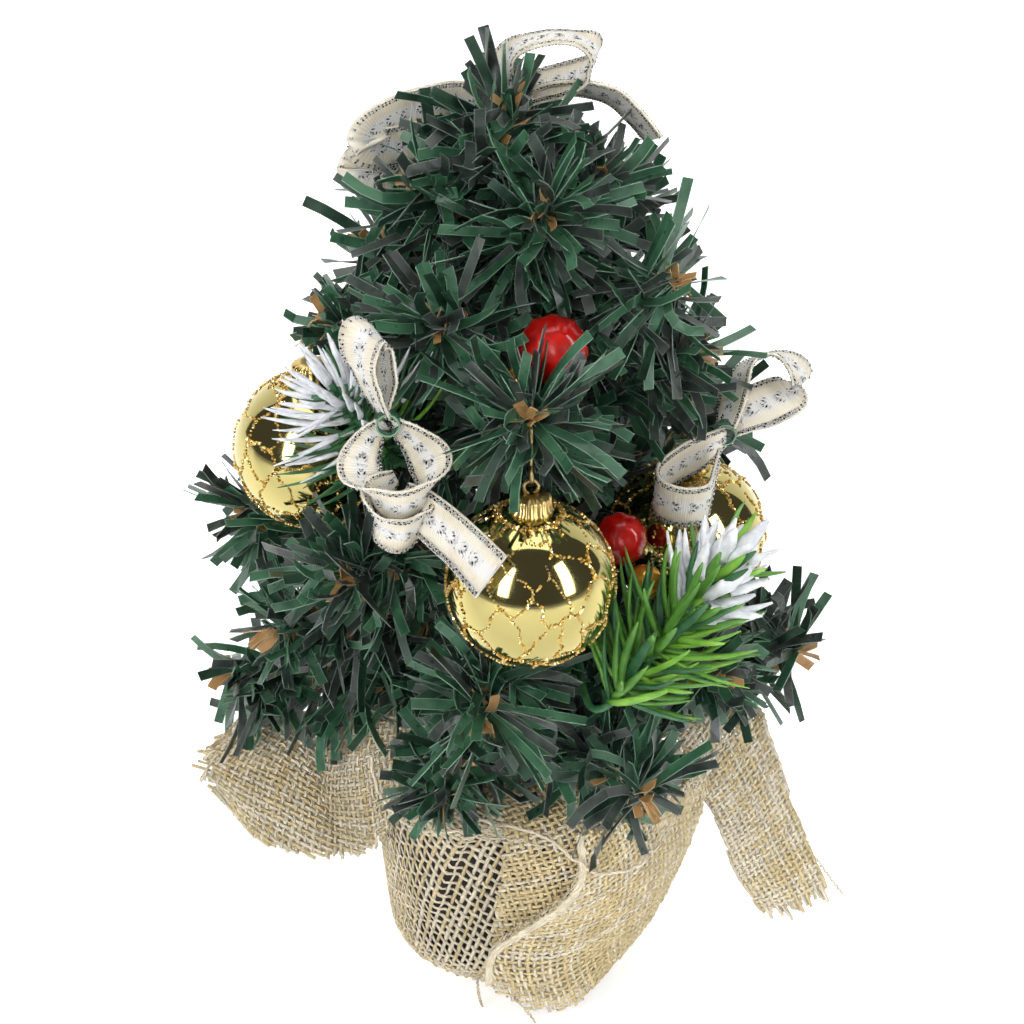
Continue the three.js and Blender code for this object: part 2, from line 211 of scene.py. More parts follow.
def ribbon_material():
    """Cream satin ribbon with fine ribs across it, and painted shade along the rib grooves."""
    n = Nodes("ribbon_cream")
    ribs = n.stripes(2.3)
    satin = n.ramp(n.noise(6.0), (0.3, (0.68, 0.61, 0.47)), (0.65, (0.80, 0.75, 0.63)))
    pale = n.mix(n.edges(0.10, 0.20), (0.76, 0.75, 0.73), satin)
    # painted shade: the ribbon is darkened towards a dim brown along the rib grooves
    n.link(n.mix(n.span(ribs, 0.0, 0.13, 0.2, 0.9), pale, (0.34, 0.31, 0.26)), n.shader.inputs["Base Color"])
    n.link(n.span(n.noise(2.0), 0.42, 0.56), n.shader.inputs["Roughness"])
    n.bump(ribs, 0.045)
    n.set(Sheen_Weight=0.2, Sheen_Roughness=0.4)
    return n.material


def tape_material():
    """Floral tape wound up the trunk."""
    n = Nodes("trunk_tape")
    wave = n.add("TexWave", Scale=260.0, Distortion=2.0, Detail=2.0, bands_direction="Z")
    n.link(n.coords, wave.inputs["Vector"])
    color = n.ramp(n.noise(4.0), (0.3, (0.018, 0.045, 0.025)), (0.7, (0.04, 0.09, 0.05)))
    n.link(color, n.shader.inputs["Base Color"])
    n.bump(wave.outputs["Fac"], 0.3)
    n.set(Roughness=0.7)
    return n.material


PICK_FINISH = (5.0, (0.35, 0.5), (0.8, 0.04))
STITCH_GRAIN = (0.4, 0.03)
BERRY_SWELL = (3.0, 0.05)
GREEN = strip_material("tinsel_green", (0.019, 0.070, 0.035), (0.052, 0.150, 0.078), (0.18, 0.32, 0.22))
DEEP = strip_material("tinsel_deep_green", (0.006, 0.022, 0.012), (0.018, 0.058, 0.031), (0.09, 0.16, 0.11))
SLATE = strip_material("tinsel_slate", (0.015, 0.022, 0.019), (0.056, 0.072, 0.061), (0.17, 0.21, 0.18))
TAN = strip_material("tinsel_tan", (0.30, 0.16, 0.05), (0.50, 0.29, 0.11), (0.60, 0.40, 0.20))
WIRE = mottled(
    "dark_wire", (0.02, 0.03, 0.025), (0.07, 0.08, 0.07), 4.0, (0.35, 0.55), (0.6, 0.03), Metallic=0.8
)
HOOK_WIRE = mottled(
    "hook_wire", (0.35, 0.26, 0.12), (0.55, 0.42, 0.2), 3.0, (0.25, 0.4), (0.6, 0.02), Metallic=1.0
)
MIRROR_GOLD = gold_material("bauble_gold", (0.57, 0.49, 0.19), (0.05, 0.11), 0.03)
GRAIN_GOLD = gold_material("glitter_gold", (0.78, 0.52, 0.16), (0.22, 0.42), 0.05)
GRAIN_BRIGHT = gold_material("glitter_bright", (1.0, 0.86, 0.50), (0.12, 0.25), 0.05)
CAP_GOLD = gold_material("cap_gold", (0.80, 0.58, 0.22), (0.22, 0.35), 0.05)
CREAM = yarn_material("yarn_cream", (0.58, 0.50, 0.35), (0.75, 0.67, 0.51))
JUTE = yarn_material("yarn_jute", (0.50, 0.39, 0.19), (0.69, 0.56, 0.32))
RIBBON = ribbon_material()
SILVER = mottled(
    "stitch_silver", (0.55, 0.56, 0.58), (0.85, 0.86, 0.88), 1.5, (0.15, 0.35), STITCH_GRAIN, Metallic=1.0
)
GLINT = mottled(
    "stitch_dark", (0.01, 0.01, 0.012), (0.06, 0.06, 0.07), 1.5, (0.15, 0.3), STITCH_GRAIN, Metallic=0.6
)
PICK_GREEN = mottled("pick_green", (0.10, 0.30, 0.02), (0.26, 0.52, 0.07), *PICK_FINISH)
# a middle green, also used as painted shade on pick needles that point down or to the left
PICK_MIDDLE_AND_SHADE = mottled("pick_middle_and_shade_green", (0.05, 0.17, 0.02), (0.13, 0.32, 0.05), *PICK_FINISH)
PICK_DARK = mottled("pick_dark_green", (0.012, 0.07, 0.025), (0.05, 0.17, 0.06), *PICK_FINISH)
FLOCK = mottled("pick_flock", (0.62, 0.64, 0.68), (0.88, 0.89, 0.91), 2.0, (0.85, 0.95), (0.35, 0.15))
RED = mottled(
    "berry_red", (0.26, 0.002, 0.001), (0.50, 0.008, 0.004), 4.0, (0.16, 0.28), BERRY_SWELL, Coat_Weight=0.3
)
AMBER = mottled(
    "berry_amber", (0.75, 0.30, 0.03), (0.95, 0.50, 0.08), 3.0, (0.1, 0.18), BERRY_SWELL, Metallic=0.7
)
PLASTIC = mottled("pot_plastic", (0.030, 0.025, 0.019), (0.055, 0.047, 0.036), 6.0, (0.45, 0.65), (1.2, 0.05))
CEMENT = mottled("cement", (0.28, 0.27, 0.25), (0.48, 0.46, 0.43), 4.0, (0.85, 0.98), (0.9, 0.3))
TAPE = tape_material()


# ---------------------------------------------------------------- mesh helpers
def unit(v):
    v = np.asarray(v, float)
    return v / np.maximum(np.linalg.norm(v, axis=-1, keepdims=True), 1e-9)


def turn(v, axis, angle):
    """v turned about a unit axis by an angle in radians."""
    c, s = math.cos(angle), math.sin(angle)
    return v * c + np.cross(axis, v) * s + axis * (axis @ v) * (1 - c)


def polar(azimuth, radius, z):
    """Azimuth is from the front (-Y) towards the right (+X), in degrees."""
    a = math.radians(azimuth)
    return np.array([radius * math.sin(a), -radius * math.cos(a), z])


def spline(points, count):
    """count points along a Catmull-Rom curve through the points (the first axis)."""
    p = np.asarray(points, float)
    t = np.linspace(0, len(p) - 1, count)
    i = np.minimum(np.floor(t).astype(int), len(p) - 2)
    f = (t - i).reshape(-1, *[1] * (p.ndim - 1))
    padded = np.concatenate([2 * p[:1] - p[1:2], p, 2 * p[-1:] - p[-2:-1]])
    a, b, c, d = (padded[i + k] for k in range(4))
    return 0.5 * (2 * b + (c - a) * f + (2 * a - 5 * b + 4 * c - d) * f**2 + (3 * b - a - 3 * c + d) * f**3)


def even(points, count):
    """The same curve with its points an equal distance apart."""
    p = np.asarray(points, float)
    along = np.concatenate([[0], np.cumsum(np.linalg.norm(np.diff(p, axis=0), axis=1))])
    t = np.linspace(0, along[-1], count)
    return np.stack([np.interp(t, along, p[:, k]) for k in range(3)], axis=1)


def round_profile(sides, width=1.0, height=1.0):
    a = np.arange(sides) * 2 * math.pi / sides
    return np.stack([np.cos(a) * width, np.sin(a) * height], axis=1)


def strip_profile(width, thickness):
    w, t = width / 2, thickness / 2
    return np.array([(-w, -t), (w, -t), (w, t), (-w, t)])


STRIP_ACROSS = (0, 1, 1, 0, 0)


class Bundle:
    """Vertices and faces of many closed bodies that make one piece."""

    def __init__(self):
        self.verts, self.quads, self.tris = [], [], []
        self.quad_slots, self.tri_slots = [], []
        self.quad_lay = []  # for each corner of a quad: mm along its body, and the share of the way across
        self.count = 0

    def add(self, verts, quads=(), tris=(), slot=0, lay=None):
        quads = np.asarray(quads, int).reshape(-1, 4) + self.count
        tris = np.asarray(tris, int).reshape(-1, 3) + self.count
        self.verts.append(np.asarray(verts, float))
        self.quads.append(quads)
        self.tris.append(tris)
        self.quad_slots.append(np.full(len(quads), slot))
        self.tri_slots.append(np.full(len(tris), slot))
        self.quad_lay.append(np.full((len(quads), 4, 2), 0.5) if lay is None else lay.reshape(-1, 4, 2))
        self.count += len(verts)

    def sweep(self, points, ups, profile, scale=None, slot=0, across=None):
        """A closed tube of a (side, up) profile along points. across is each corner's share of the way."""
        points = np.asarray(points, float)
        n, s = len(points), len(profile)
        tangents = unit(np.gradient(points, axis=0))
        sides = unit(np.cross(tangents, np.broadcast_to(ups, points.shape)))
        normals = np.cross(sides, tangents)
        if scale is None:
            scale = np.ones((n, 2))
        scale = np.broadcast_to(np.asarray(scale, float).reshape(n, -1), (n, 2))
        x = profile[None, :, 0] * scale[:, :1]
        y = profile[None, :, 1] * scale[:, 1:]
        verts = points[:, None] + sides[:, None] * x[..., None] + normals[:, None] * y[..., None]
        i, k = np.meshgrid(np.arange(n - 1), np.arange(s), indexing="ij")
        k2 = (k + 1) % s
        quads = np.stack([i * s + k, (i + 1) * s + k, (i + 1) * s + k2, i * s + k2], axis=-1)
        fan = np.arange(1, s - 1)
        start = np.stack([np.zeros_like(fan), fan, fan + 1], axis=1)
        end = (n - 1) * s + start[:, ::-1]
        along = np.concatenate([[0], np.cumsum(np.linalg.norm(np.diff(points, axis=0), axis=1))])
        across = np.arange(s + 1) / s if across is None else np.asarray(across, float)
        a, b = along[i], along[i + 1]
        low, high = across[k], across[k + 1]
        lay = np.stack([a, low, b, low, b, high, a, high], axis=-1)
        self.add(verts.reshape(-1, 3), quads, np.concatenate([start, end]), slot, lay)

    def lathe(self, profile, segments, place, axis=UP, slot=0, ripple=None):
        """A solid of revolution from [radius, height] points that start and end on the axis."""
        axis = unit(axis)
        side = unit(np.cross(axis, [0.31, 0.77, 0.55]))
        other = np.cross(axis, side)
        a = np.arange(segments) * 2 * math.pi / segments
        verts = [place + axis * profile[0][1]]
        for radius, height in profile[1:-1]:
            r = radius * (1 + ripple(a, radius)) if ripple else np.full(segments, radius)
            ring = side * (np.cos(a) * r)[:, None] + other * (np.sin(a) * r)[:, None]
            verts.extend(place + ring + axis * height)
        verts.append(place + axis * profile[-1][1])
        rings = len(profile) - 2
        k = np.arange(segments)
        k2 = (k + 1) % segments
        quads = []
        for i in range(rings - 1):
            low, high = 1 + i * segments, 1 + (i + 1) * segments
            quads.append(np.stack([low + k, low + k2, high + k2, high + k], axis=1))
        last = 1 + (rings - 1) * segments
        top = np.full(segments, len(verts) - 1)
        start = np.stack([0 * k, 1 + k2, 1 + k], axis=1)
        end = np.stack([last + k, last + k2, top], axis=1)
        self.add(np.array(verts), np.concatenate(quads), np.concatenate([start, end]), slot)

    def build(self, name, body, materials, smooth=True, replaces=()):
        verts = np.concatenate(self.verts) * MM
        quads, tris = np.concatenate(self.quads), np.concatenate(self.tris)
        mesh = bpy.data.meshes.new(name)
        loops = np.concatenate([quads.ravel(), tris.ravel()])
        starts = np.concatenate([np.arange(len(quads)) * 4, 4 * len(quads) + np.arange(len(tris)) * 3])
        mesh.vertices.add(len(verts))
        mesh.vertices.foreach_set("co", verts.ravel())
        mesh.loops.add(len(loops))
        mesh.loops.foreach_set("vertex_index", loops)
        mesh.polygons.add(len(starts))
        mesh.polygons.foreach_set("loop_start", starts)
        mesh.polygons.foreach_set("material_index", np.concatenate(self.quad_slots + self.tri_slots))
        mesh.polygons.foreach_set("use_smooth", np.full(len(starts), smooth))
        for material in materials:
            mesh.materials.append(material)
        mesh.update(calc_edges=True)
        lay = np.full((len(loops), 2), 0.5)
        lay[: 4 * len(quads)] = np.concatenate(self.quad_lay).reshape(-1, 2)
        mesh.uv_layers.new(name="lay").data.foreach_set("uv", lay.ravel())
        obj = bpy.data.objects.new(name, mesh)
        bpy.context.scene.collection.objects.link(obj)
        if replaces:
            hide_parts(*replaces)
        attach(obj, body)
        return obj


def box_centre(node):
    low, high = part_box(node)
    return (np.array(low) + np.array(high)) / 2 / MM


def joint_at(name):
    return np.array(JOINTS[name]["pos_m"]) / MM


def node_tip(node, root):
    """The middle of the far end of a CAD core that starts at root."""
    verts = np.array([v.co for v in frame["nodes"][node].data.vertices]) / MM
    reach = np.linalg.norm(verts - root, axis=1)
    return verts[reach > reach.max() - 0.3].mean(axis=0)


# ---------------------------------------------------------------- things the needles keep clear of
KEEP_OUT_BALLS = []  # (centre, radius)
KEEP_OUT_SURFACES = []


def keep_out(bundle):
    """Needles don't pass through this piece."""
    verts = [Vector(v) for v in np.concatenate(bundle.verts)]
    faces = np.concatenate(bundle.quads).tolist() + np.concatenate(bundle.tris).tolist()
    KEEP_OUT_SURFACES.append(BVHTree.FromPolygons(verts, faces))


def is_clear(points):
    for centre, radius in KEEP_OUT_BALLS:
        if (np.linalg.norm(points - centre, axis=1) < radius).any():
            return False
    for surface in KEEP_OUT_SURFACES:
        for a, b in zip(points[:-1], points[1:]):
            step = b - a
            length = float(np.linalg.norm(step))
            if surface.ray_cast(Vector(a), Vector(step / length), length)[0] is not None:
                return False
    return True


# ---------------------------------------------------------------- burlap
SHEET_POINTS = 61  # along each side of a sheet made from rows of points


class Sheet:
    """A smooth cloth surface. u runs along each row of points and v from row to row, in mm of cloth."""

    def __init__(self, rows=None, fine=None):
        if fine is None:
            across = spline(np.array(rows, float).swapaxes(0, 1), SHEET_POINTS).swapaxes(0, 1)
            fine = spline(across, SHEET_POINTS)
            fine = np.stack([even(row, SHEET_POINTS) for row in fine])
            fine = np.stack([even(column, SHEET_POINTS) for column in fine.swapaxes(0, 1)]).swapaxes(0, 1)
        self.grid = fine
        steps_u = np.linalg.norm(np.diff(fine, axis=1), axis=2)
        steps_v = np.linalg.norm(np.diff(fine, axis=0), axis=2)
        self.width, self.length = steps_u.sum(axis=1).mean(), steps_v.sum(axis=0).mean()
        cell_widths = 0.5 * (steps_u[1:] + steps_u[:-1])
        cell_lengths = 0.5 * (steps_v[:, 1:] + steps_v[:, :-1])
        self.area = float((cell_widths * cell_lengths).sum())
        self.du, self.dv = np.gradient(fine, axis=1), np.gradient(fine, axis=0)
        self.normals = unit(np.cross(self.du, self.dv))

    def at(self, flat):
        """Points and normals at flat (u, v) positions in mm. Beyond an edge the cloth carries straight on."""
        nv, nu = self.grid.shape[:2]
        x = flat[:, 0] / self.width * (nu - 1)
        y = flat[:, 1] / self.length * (nv - 1)
        xi = np.clip(np.floor(x).astype(int), 0, nu - 2)
        yi = np.clip(np.floor(y).astype(int), 0, nv - 2)
        fx, fy = np.clip(x - xi, 0, 1)[:, None], np.clip(y - yi, 0, 1)[:, None]
        out = []
        for field in (self.grid, self.normals, self.du, self.dv):
            low = field[yi, xi] * (1 - fx) + field[yi, xi + 1] * fx
            high = field[yi + 1, xi] * (1 - fx) + field[yi + 1, xi + 1] * fx
            out.append(low * (1 - fy) + high * fy)
        points, normals, du, dv = out
        points = points + du * (x - xi - fx[:, 0])[:, None] + dv * (y - yi - fy[:, 0])[:, None]
        return points, unit(normals)

    def surface(self):
        bundle = Bundle()
        nv, nu = self.grid.shape[:2]
        i, k = np.meshgrid(np.arange(nv - 1), np.arange(nu - 1), indexing="ij")
        quads = np.stack([i * nu + k, i * nu + k + 1, (i + 1) * nu + k + 1, (i + 1) * nu + k], axis=-1)
        bundle.add(self.grid.reshape(-1, 3), quads)
        return bundle


YARN_PITCH = 1.28
YARN_WIDTH = 0.86
YARN_THICKNESS = 0.40
YARN_RISE = 0.19  # how far a yarn passes over and under the cloth's middle
LAYER_GAP = 0.55  # between the two layers of a doubled cloth


def weave(bundle, sheet, seed, angle, jute, fray=(0, 0, 0, 0), inside=None, pitch=YARN_PITCH, depth=0.0):
    """Plain-weave yarns over a sheet.

    fray is how far loose ends reach past the low-u, high-u, low-v and high-v edges, jute is the share of jute
    yarns in each of the two directions, and depth is how far behind the sheet the yarns lie.
    """
    rng = np.random.default_rng(seed)
    middle = np.array([sheet.width, sheet.length]) / 2 + (pitch / 2 if depth else 0)
    a = math.radians(angle)
    ways = np.array([[math.cos(a), math.sin(a)], [-math.sin(a), math.cos(a)]])
    reach = int(np.hypot(*middle) * 1.1 / pitch) + 6
    half_steps = np.arange(-2 * reach, 2 * reach + 1)
    profile = round_profile(4)
    for family in (0, 1):
        way, across = ways[family], ways[1 - family]
        for k in range(-reach, reach + 1):
            drift = 0.09 * np.sin(half_steps * 0.21 + rng.uniform(0, 6.3))
            drift += 0.04 * rng.standard_normal(len(half_steps))
            flat = middle + across * (k * pitch + drift)[:, None] + way * (half_steps * pitch / 2)[:, None]
            slack = rng.uniform(0.15, 1.0, 4) ** 1.3 * np.array(fray)
            low = flat - np.array([-slack[0], -slack[2]])
            high = flat - np.array([sheet.width + slack[1], sheet.length + slack[3]])
            kept = (low >= 0).all(axis=1) & (high <= 0).all(axis=1)
            proper = ((flat >= 0) & (flat <= [sheet.width, sheet.length])).all(axis=1)
            if inside is not None:
                kept &= inside(flat)
            if (kept & proper).sum() < 3:
                continue
            crossing = np.where(half_steps % 2 == 0, 1 - 2 * ((k + half_steps // 2 + family) % 2), 0)
            points, normals = sheet.at(flat)
            past = np.maximum(np.maximum(-flat, flat - [sheet.width, sheet.length]), 0).max(axis=1)
            curl = rng.normal(0, 0.5, 3)
            points = points + normals * (crossing * YARN_RISE * (past == 0) - depth)[:, None]
            points = points + np.outer(past**1.5 * 0.12, curl)
            points[:, 2] = np.maximum(points[:, 2], YARN_THICKNESS / 2 + 0.1)
            edges = np.flatnonzero(np.diff(np.concatenate([[0], kept.astype(int), [0]])))
            width = YARN_WIDTH * rng.uniform(0.82, 1.15)
            for start, stop in zip(edges[::2], edges[1::2]):
                if stop - start < 3:
                    continue
                run = slice(start, stop)
                swell = 1 + 0.12 * np.sin(half_steps[run] * 0.55 + rng.uniform(0, 6.3))
                size = np.stack([swell * width / 2, swell * YARN_THICKNESS / 2], axis=1)
                size *= np.where(past[run] > 0, 0.8, 1.0)[:, None]
                bundle.sweep(points[run], normals[run], profile, size, int(rng.random() < jute[family]))


WRAP_PROFILE = [
    (23.4, 0.9), (24.9, 3.2), (26.1, 14), (27.2, 26), (28.3, 38.4), (27.6, 42.6), (22.0, 45.2), (14.0, 47.0),
    (10.2, 48.3), (11.6, 50.0),
]
WRAP_PITCH = 1.30
WRAP_ROWS, WRAP_COLUMNS = 70, 361
FOLD_DEPTH = 2.0
FOLD_WIDTH, FOLD_STEP = 0.42, 0.05  # how far it slopes away on its left and its right, in radians


def wrap_sheet():
    """The cloth round the pot, pleated where it is drawn in over the rim."""
    profile = spline(np.array(WRAP_PROFILE), WRAP_ROWS)
    along = np.linspace(0, 1, WRAP_ROWS)
    theta = np.linspace(0, 2 * math.pi, WRAP_COLUMNS)
    grid = np.zeros((WRAP_ROWS, WRAP_COLUMNS, 3))
    for i, ((radius, z), v) in enumerate(zip(profile, along)):
        gather = np.clip((v - 0.42) / 0.4, 0, 1)
        pleat = 0.5 * np.sin(17 * theta + 1.3 * np.sin(3 * theta))
        pleat += 0.5 * np.sin(11 * theta + 2 * np.sin(2 * theta) + 1)
        soft = 0.5 + 0.5 * np.sin(5 * theta + 0.8 * np.sin(2 * theta) - 0.6 * v)
        out = gather * 1.1 * pleat * min(1, radius / 18) + 0.7 * soft * np.clip(v * 4, 0, 1) * (1 - gather)
        # one fold lies flat over the front left, steep on its right side
        behind = -0.34 - 1.35 * (0.44 - v) - theta
        behind = (behind + math.pi) % (2 * math.pi) - math.pi
        fold = np.clip(1 - behind / FOLD_WIDTH, 0, 1) * np.clip(1 + behind / FOLD_STEP, 0, 1)
        out += FOLD_DEPTH * fold * np.clip((v - 0.22) * 14, 0, 1) * np.clip((0.56 - v) * 14, 0, 1)
        r = radius + out
        lift = gather * 0.8 * np.cos(13 * theta)
        grid[i] = np.stack([r * np.sin(theta), -r * np.cos(theta), z + lift * (v < 0.95)], axis=1)
    return Sheet(fine=grid[:, ::-1])


def flat_disc(radius, z):
    side = np.linspace(-radius, radius, 41)
    x, y = np.meshgrid(side, side)
    return Sheet(fine=np.stack([x, y, np.full_like(x, z)], axis=-1))


# Rows of points run across each cloth, from the neck to its free end. angle, fray and jute are as in weave.
# on names the cloth that this one lies on, and lined says that the cloth is doubled.
BURLAP = {
    "burlap_front_drape": dict(
        rows=[
            [(-1, -11.5, 50.6), (3, -12, 51.2), (7, -11, 51.4), (10, -8.5, 51.2), (12.5, -5, 50.6)],
            [(-2, -24, 47.5), (6, -25, 48.6), (15, -23, 48.8), (24, -17, 48.8), (32, -9, 49.4)],
            [(-1.6, -31, 41.5), (8, -32, 43), (19, -29.5, 43.4), (30, -22.5, 43.4), (38, -12, 44)],
            [(-2.6, -31.6, 31), (8, -32.4, 32), (19, -30, 32.8), (29.5, -22.5, 33.5), (36.6, -13.5, 34.5)],
            [(-4, -31.2, 16), (8, -32.6, 17), (18, -30, 18.5), (26.5, -23.5, 20.5), (32.6, -16.4, 23.5)],
            [(-4.2, -29.6, 7), (5, -32.2, 4.2), (13, -31, 4), (20.5, -26.5, 8), (27, -20, 13.5)],
        ],
        fray=(0.2, 1.2, 0, 1.0),
        angle=-20,
        jute=(0.85, 0.7),
    ),
    "burlap_front_fold": dict(
        rows=[
            [(13.6, -30.8, 44), (13, -33.2, 44.6), (18, -32, 45.6), (25.5, -27, 45.8),
             (33, -19, 46.2), (38.8, -11.8, 46)],
            [(13, -31.6, 35.4), (13.4, -34.6, 35.2), (19, -32.6, 37), (26.5, -27, 38.4),
             (33, -19.8, 39), (38.4, -12.4, 39)],
            [(9.8, -32.6, 29.4), (9.4, -35.4, 28.6), (17, -34, 29.6), (26, -27.8, 30.4),
             (32.5, -20.4, 31.4), (36.8, -14, 32.4)],
            [(2.6, -32.6, 23.2), (1.8, -35.4, 22.4), (12, -35.4, 21.6), (23, -29.6, 22.4),
             (30, -22, 24), (34, -16.4, 26)],
            [(-2.8, -31.4, 17), (-3.6, -34, 16.2), (7, -35.8, 14), (18.5, -31.8, 15),
             (26, -24.4, 17), (31, -18.4, 19.6)],
            [(-4.2, -31, 9), (-4.6, -33, 8), (4.5, -35.4, 4.2), (13, -33.6, 4.2),
             (21, -27, 9), (27.4, -20.4, 13)],
        ],
        fray=(0, 1.3, 0, 1.4),
        angle=-24,
        on="burlap_front_drape",
        jute=(0.75, 0.45),
    ),
    "burlap_left_wing": dict(
        rows=[
            [(-10, 6, 50.4), (-11.6, 2, 51), (-11.6, -2, 51), (-10, -6, 50.3)],
            [(-24, 12, 48.5), (-26.4, 4, 50), (-26, -5, 48), (-22, -18, 41.5)],
            [(-31, 11.5, 46), (-32, 3.4, 46.4), (-31, -6, 42), (-27, -19, 33)],
            [(-37.6, 10.5, 40.6), (-37.6, 3.4, 39.4), (-36.4, -5, 34), (-33.4, -15.6, 27.6)],
            [(-41, 10.5, 42.4), (-41, 2.6, 40.6), (-40, -6.4, 35), (-37.4, -16.4, 27.8)],
            [(-47.3, 9.4, 45.8), (-47.6, 2.2, 42.4), (-46.5, -6.4, 35.6), (-44.6, -14.8, 28)],
            [(-53.4, 7.6, 45.8), (-55.8, 2.6, 42.4), (-55, -4, 35.6), (-51.4, -11.4, 28.2)],
            [(-56, 5, 45.2), (-59.6, 1, 41.2), (-60.2, -2.4, 37.4), (-55.6, -8.6, 30.8)],
        ],
        fray=(0.5, 1.8, 0, 4.6),
        angle=24,
        jute=(0.25, 0.65),
        lined=True,
    ),
    "burlap_right_tail": dict(
        rows=[
            [(11, 5.5, 50.8), (12.2, 2, 51.3), (12.4, -1.5, 51.2), (11, -5, 50.8)],
            [(27, 8, 50.6), (28, 3.5, 51.2), (28, -2.5, 51), (27, -8, 50.2)],
            [(48, 2.6, 51.6), (44, -0.4, 52.4), (39, -3.6, 52.4), (32.6, -8.8, 50.6)],
            [(52.2, 0.6, 44.5), (48, -2.2, 45.2), (43, -5.4, 44.8), (35.6, -10.2, 43.6)],
            [(56.4, 0, 31.5), (51.8, -2.8, 31), (46.8, -5.8, 30), (41.8, -8.6, 28.6)],
            [(61.2, -0.8, 18.4), (56.4, -3.2, 17.2), (51.4, -5.6, 16), (46.8, -8, 14.8)],
            [(65, -1.8, 8.8), (60.6, -3.8, 7.2), (55.8, -5.6, 6.4), (51.4, -7.2, 6.2)],
        ],
        fray=(0.4, 0.2, 0, 4.0),
        angle=3,
        jute=(0.35, 0.3),
        lined=True,
    ),
    "burlap_back_wing": dict(
        rows=[
            [(7, 10.5, 50.6), (2, 12.4, 51.2), (-2.5, 12.4, 51), (-7, 10.4, 50.4)],
            [(17, 24, 47.4), (7, 28, 49.6), (-5, 28.6, 49.2), (-15, 25, 46.6)],
            [(19, 37, 41.5), (8, 42.5, 45.5), (-5, 43.5, 46.4), (-19, 39, 43)],
            [(14, 47, 33.5), (5, 53, 37.5), (-6, 55, 39), (-18, 50, 36.5)],
        ],
        fray=(0.8, 0.6, 0, 3.0),
        angle=-20,
        jute=(0.3, 0.5),
        lined=True,
    ),
}
LOOSE_THREADS = [
    [(-27.6, -20, 54), (-26.1, -22, 47.1), (-22.8, -24, 42.5), (-18.9, -26, 40.9), (-14, -28.4, 41.6),
     (-9, -29.4, 43)],
    [(-6.5, -31, 46.4), (5.4, -33, 44.4), (12.1, -35.6, 40.4), (17, -34.6, 36.3), (24.9, -31, 35.7),
     (26, -28, 39.2), (22.1, -28.6, 42.6)],
    [(63, -1.4, 15), (66.2, -1.6, 10), (69.4, -2, 5.6)],
    [(-14, -27, 43.4), (-7, -30.4, 42.2), (0, -32.4, 42.8), (7, -33.4, 41.6)],
    [(-3, -31.4, 8), (2, -34.6, 3.6), (4.6, -36.6, 1.2)],
    [(-7, -28.4, 5.4), (-6.6, -30.4, 2.6), (-6, -31.2, 0.8)],
]


def make_burlap():
    wrap = wrap_sheet()
    bundle = Bundle()
    weave(bundle, wrap, 11, angle=27, pitch=WRAP_PITCH, jute=(0.12, 0.45))
    side = bundle.build("burlap_wrap_cloth", "stand", [CREAM, JUTE], replaces=["burlap_wrap"])
    keep_out(wrap.surface())

    radius = 24.4
    reach = 25.0
    bundle = Bundle()

    def in_disc(flat):
        return np.linalg.norm(flat - reach, axis=1) < radius

    weave(bundle, flat_disc(reach, 0.85), 12, angle=27, jute=(0.2, 0.8), inside=in_disc, pitch=WRAP_PITCH)
    under = bundle.build("burlap_underside", "stand", [CREAM, JUTE])

    for i, (name, shape) in enumerate(BURLAP.items()):
        sheet = Sheet(shape["rows"])
        layers = 2 if shape.get("lined") else 1
        bundle = Bundle()
        yarns = {key: shape[key] for key in ("angle", "fray", "jute")}
        for layer in range(layers):
            weave(bundle, sheet, 20 * (1 + layer) + i, depth=LAYER_GAP * layer, **yarns)
        on = shape.get("on")
        piece = bundle.build(name + "_cloth", "stand", [CREAM, JUTE], replaces=() if on else [name])
        keep_out(sheet.surface())

    threads = Bundle()
    hem = spline(np.array([row[1] for row in BURLAP["burlap_front_fold"]["rows"]], float), 90)
    hem += unit(hem * [1, 1, 0]) * 0.3
    winding = np.linspace(0, 26, 90)
    for phase in np.arange(4) * math.pi / 2:
        off = np.stack([np.cos(winding + phase), np.zeros(90), np.sin(winding + phase)], axis=1)
        threads.sweep(hem + 0.42 * off, (0.2, -0.9, 0.3), round_profile(5, 0.42, 0.34), slot=0)
    for k, points in enumerate(LOOSE_THREADS):
        curve = spline(np.array(points, float), 60)
        curve += 0.18 * np.stack([np.sin(np.arange(60) * (0.9 + 0.3 * j) + k) for j in range(3)], axis=1)
        size = 0.36 if k < 2 else 0.2
        threads.sweep(curve, (0.2, -0.5, 0.8), round_profile(6, size, size), slot=0)
    threads.build("burlap_loose_threads", "stand", [CREAM])


# ---------------------------------------------------------------- baubles
BALL_RADIUS = 15.0
CRACKLE_CELLS = 58
BAUBLES = {"front": "branch_4_1", "right": "branch_4_2", "back": "branch_4_3", "left": "branch_4_4"}


def ball_points(count):
    """Directions spread evenly over a ball."""
    i = np.arange(count) + 0.5
    height = 1 - 2 * i / count
    a = math.pi * (1 + 5**0.5) * i
    ring = np.sqrt(1 - height**2)
    return np.stack([np.cos(a) * ring, np.sin(a) * ring, height], axis=1)


def crackle(rng):
    """Directions of glitter grains along an irregular net on a ball. Its cells are long from pole to pole."""
    points = ball_points(19000)
    height, a = points[:, 2], np.arctan2(points[:, 1], points[:, 0])
    seeds = unit(ball_points(CRACKLE_CELLS) + rng.normal(0, 0.10, (CRACKLE_CELLS, 3)))
    stretch = np.array([1, 1, 0.72])
    warp = 0.045 * np.sin(points[:, [1, 2, 0]] * 9 + 2) + 0.025 * np.sin(points[:, [2, 0, 1]] * 21)
    gaps = np.linalg.norm(((points + warp)[:, None] - seeds[None]) * stretch, axis=2)
    two = np.partition(gaps, 1, axis=1)[:, :2]
    on_net = (two[:, 1] - two[:, 0] < 0.021) & (np.abs(height) < 0.93)
    on_ring = np.abs(height - 0.93) < 0.010
    meridian = (np.abs(np.sin(4 * a)) < 0.10) & (height > 0.84) & (height < 0.93)
    return points[on_net | on_ring | meridian | (height < -0.985)]


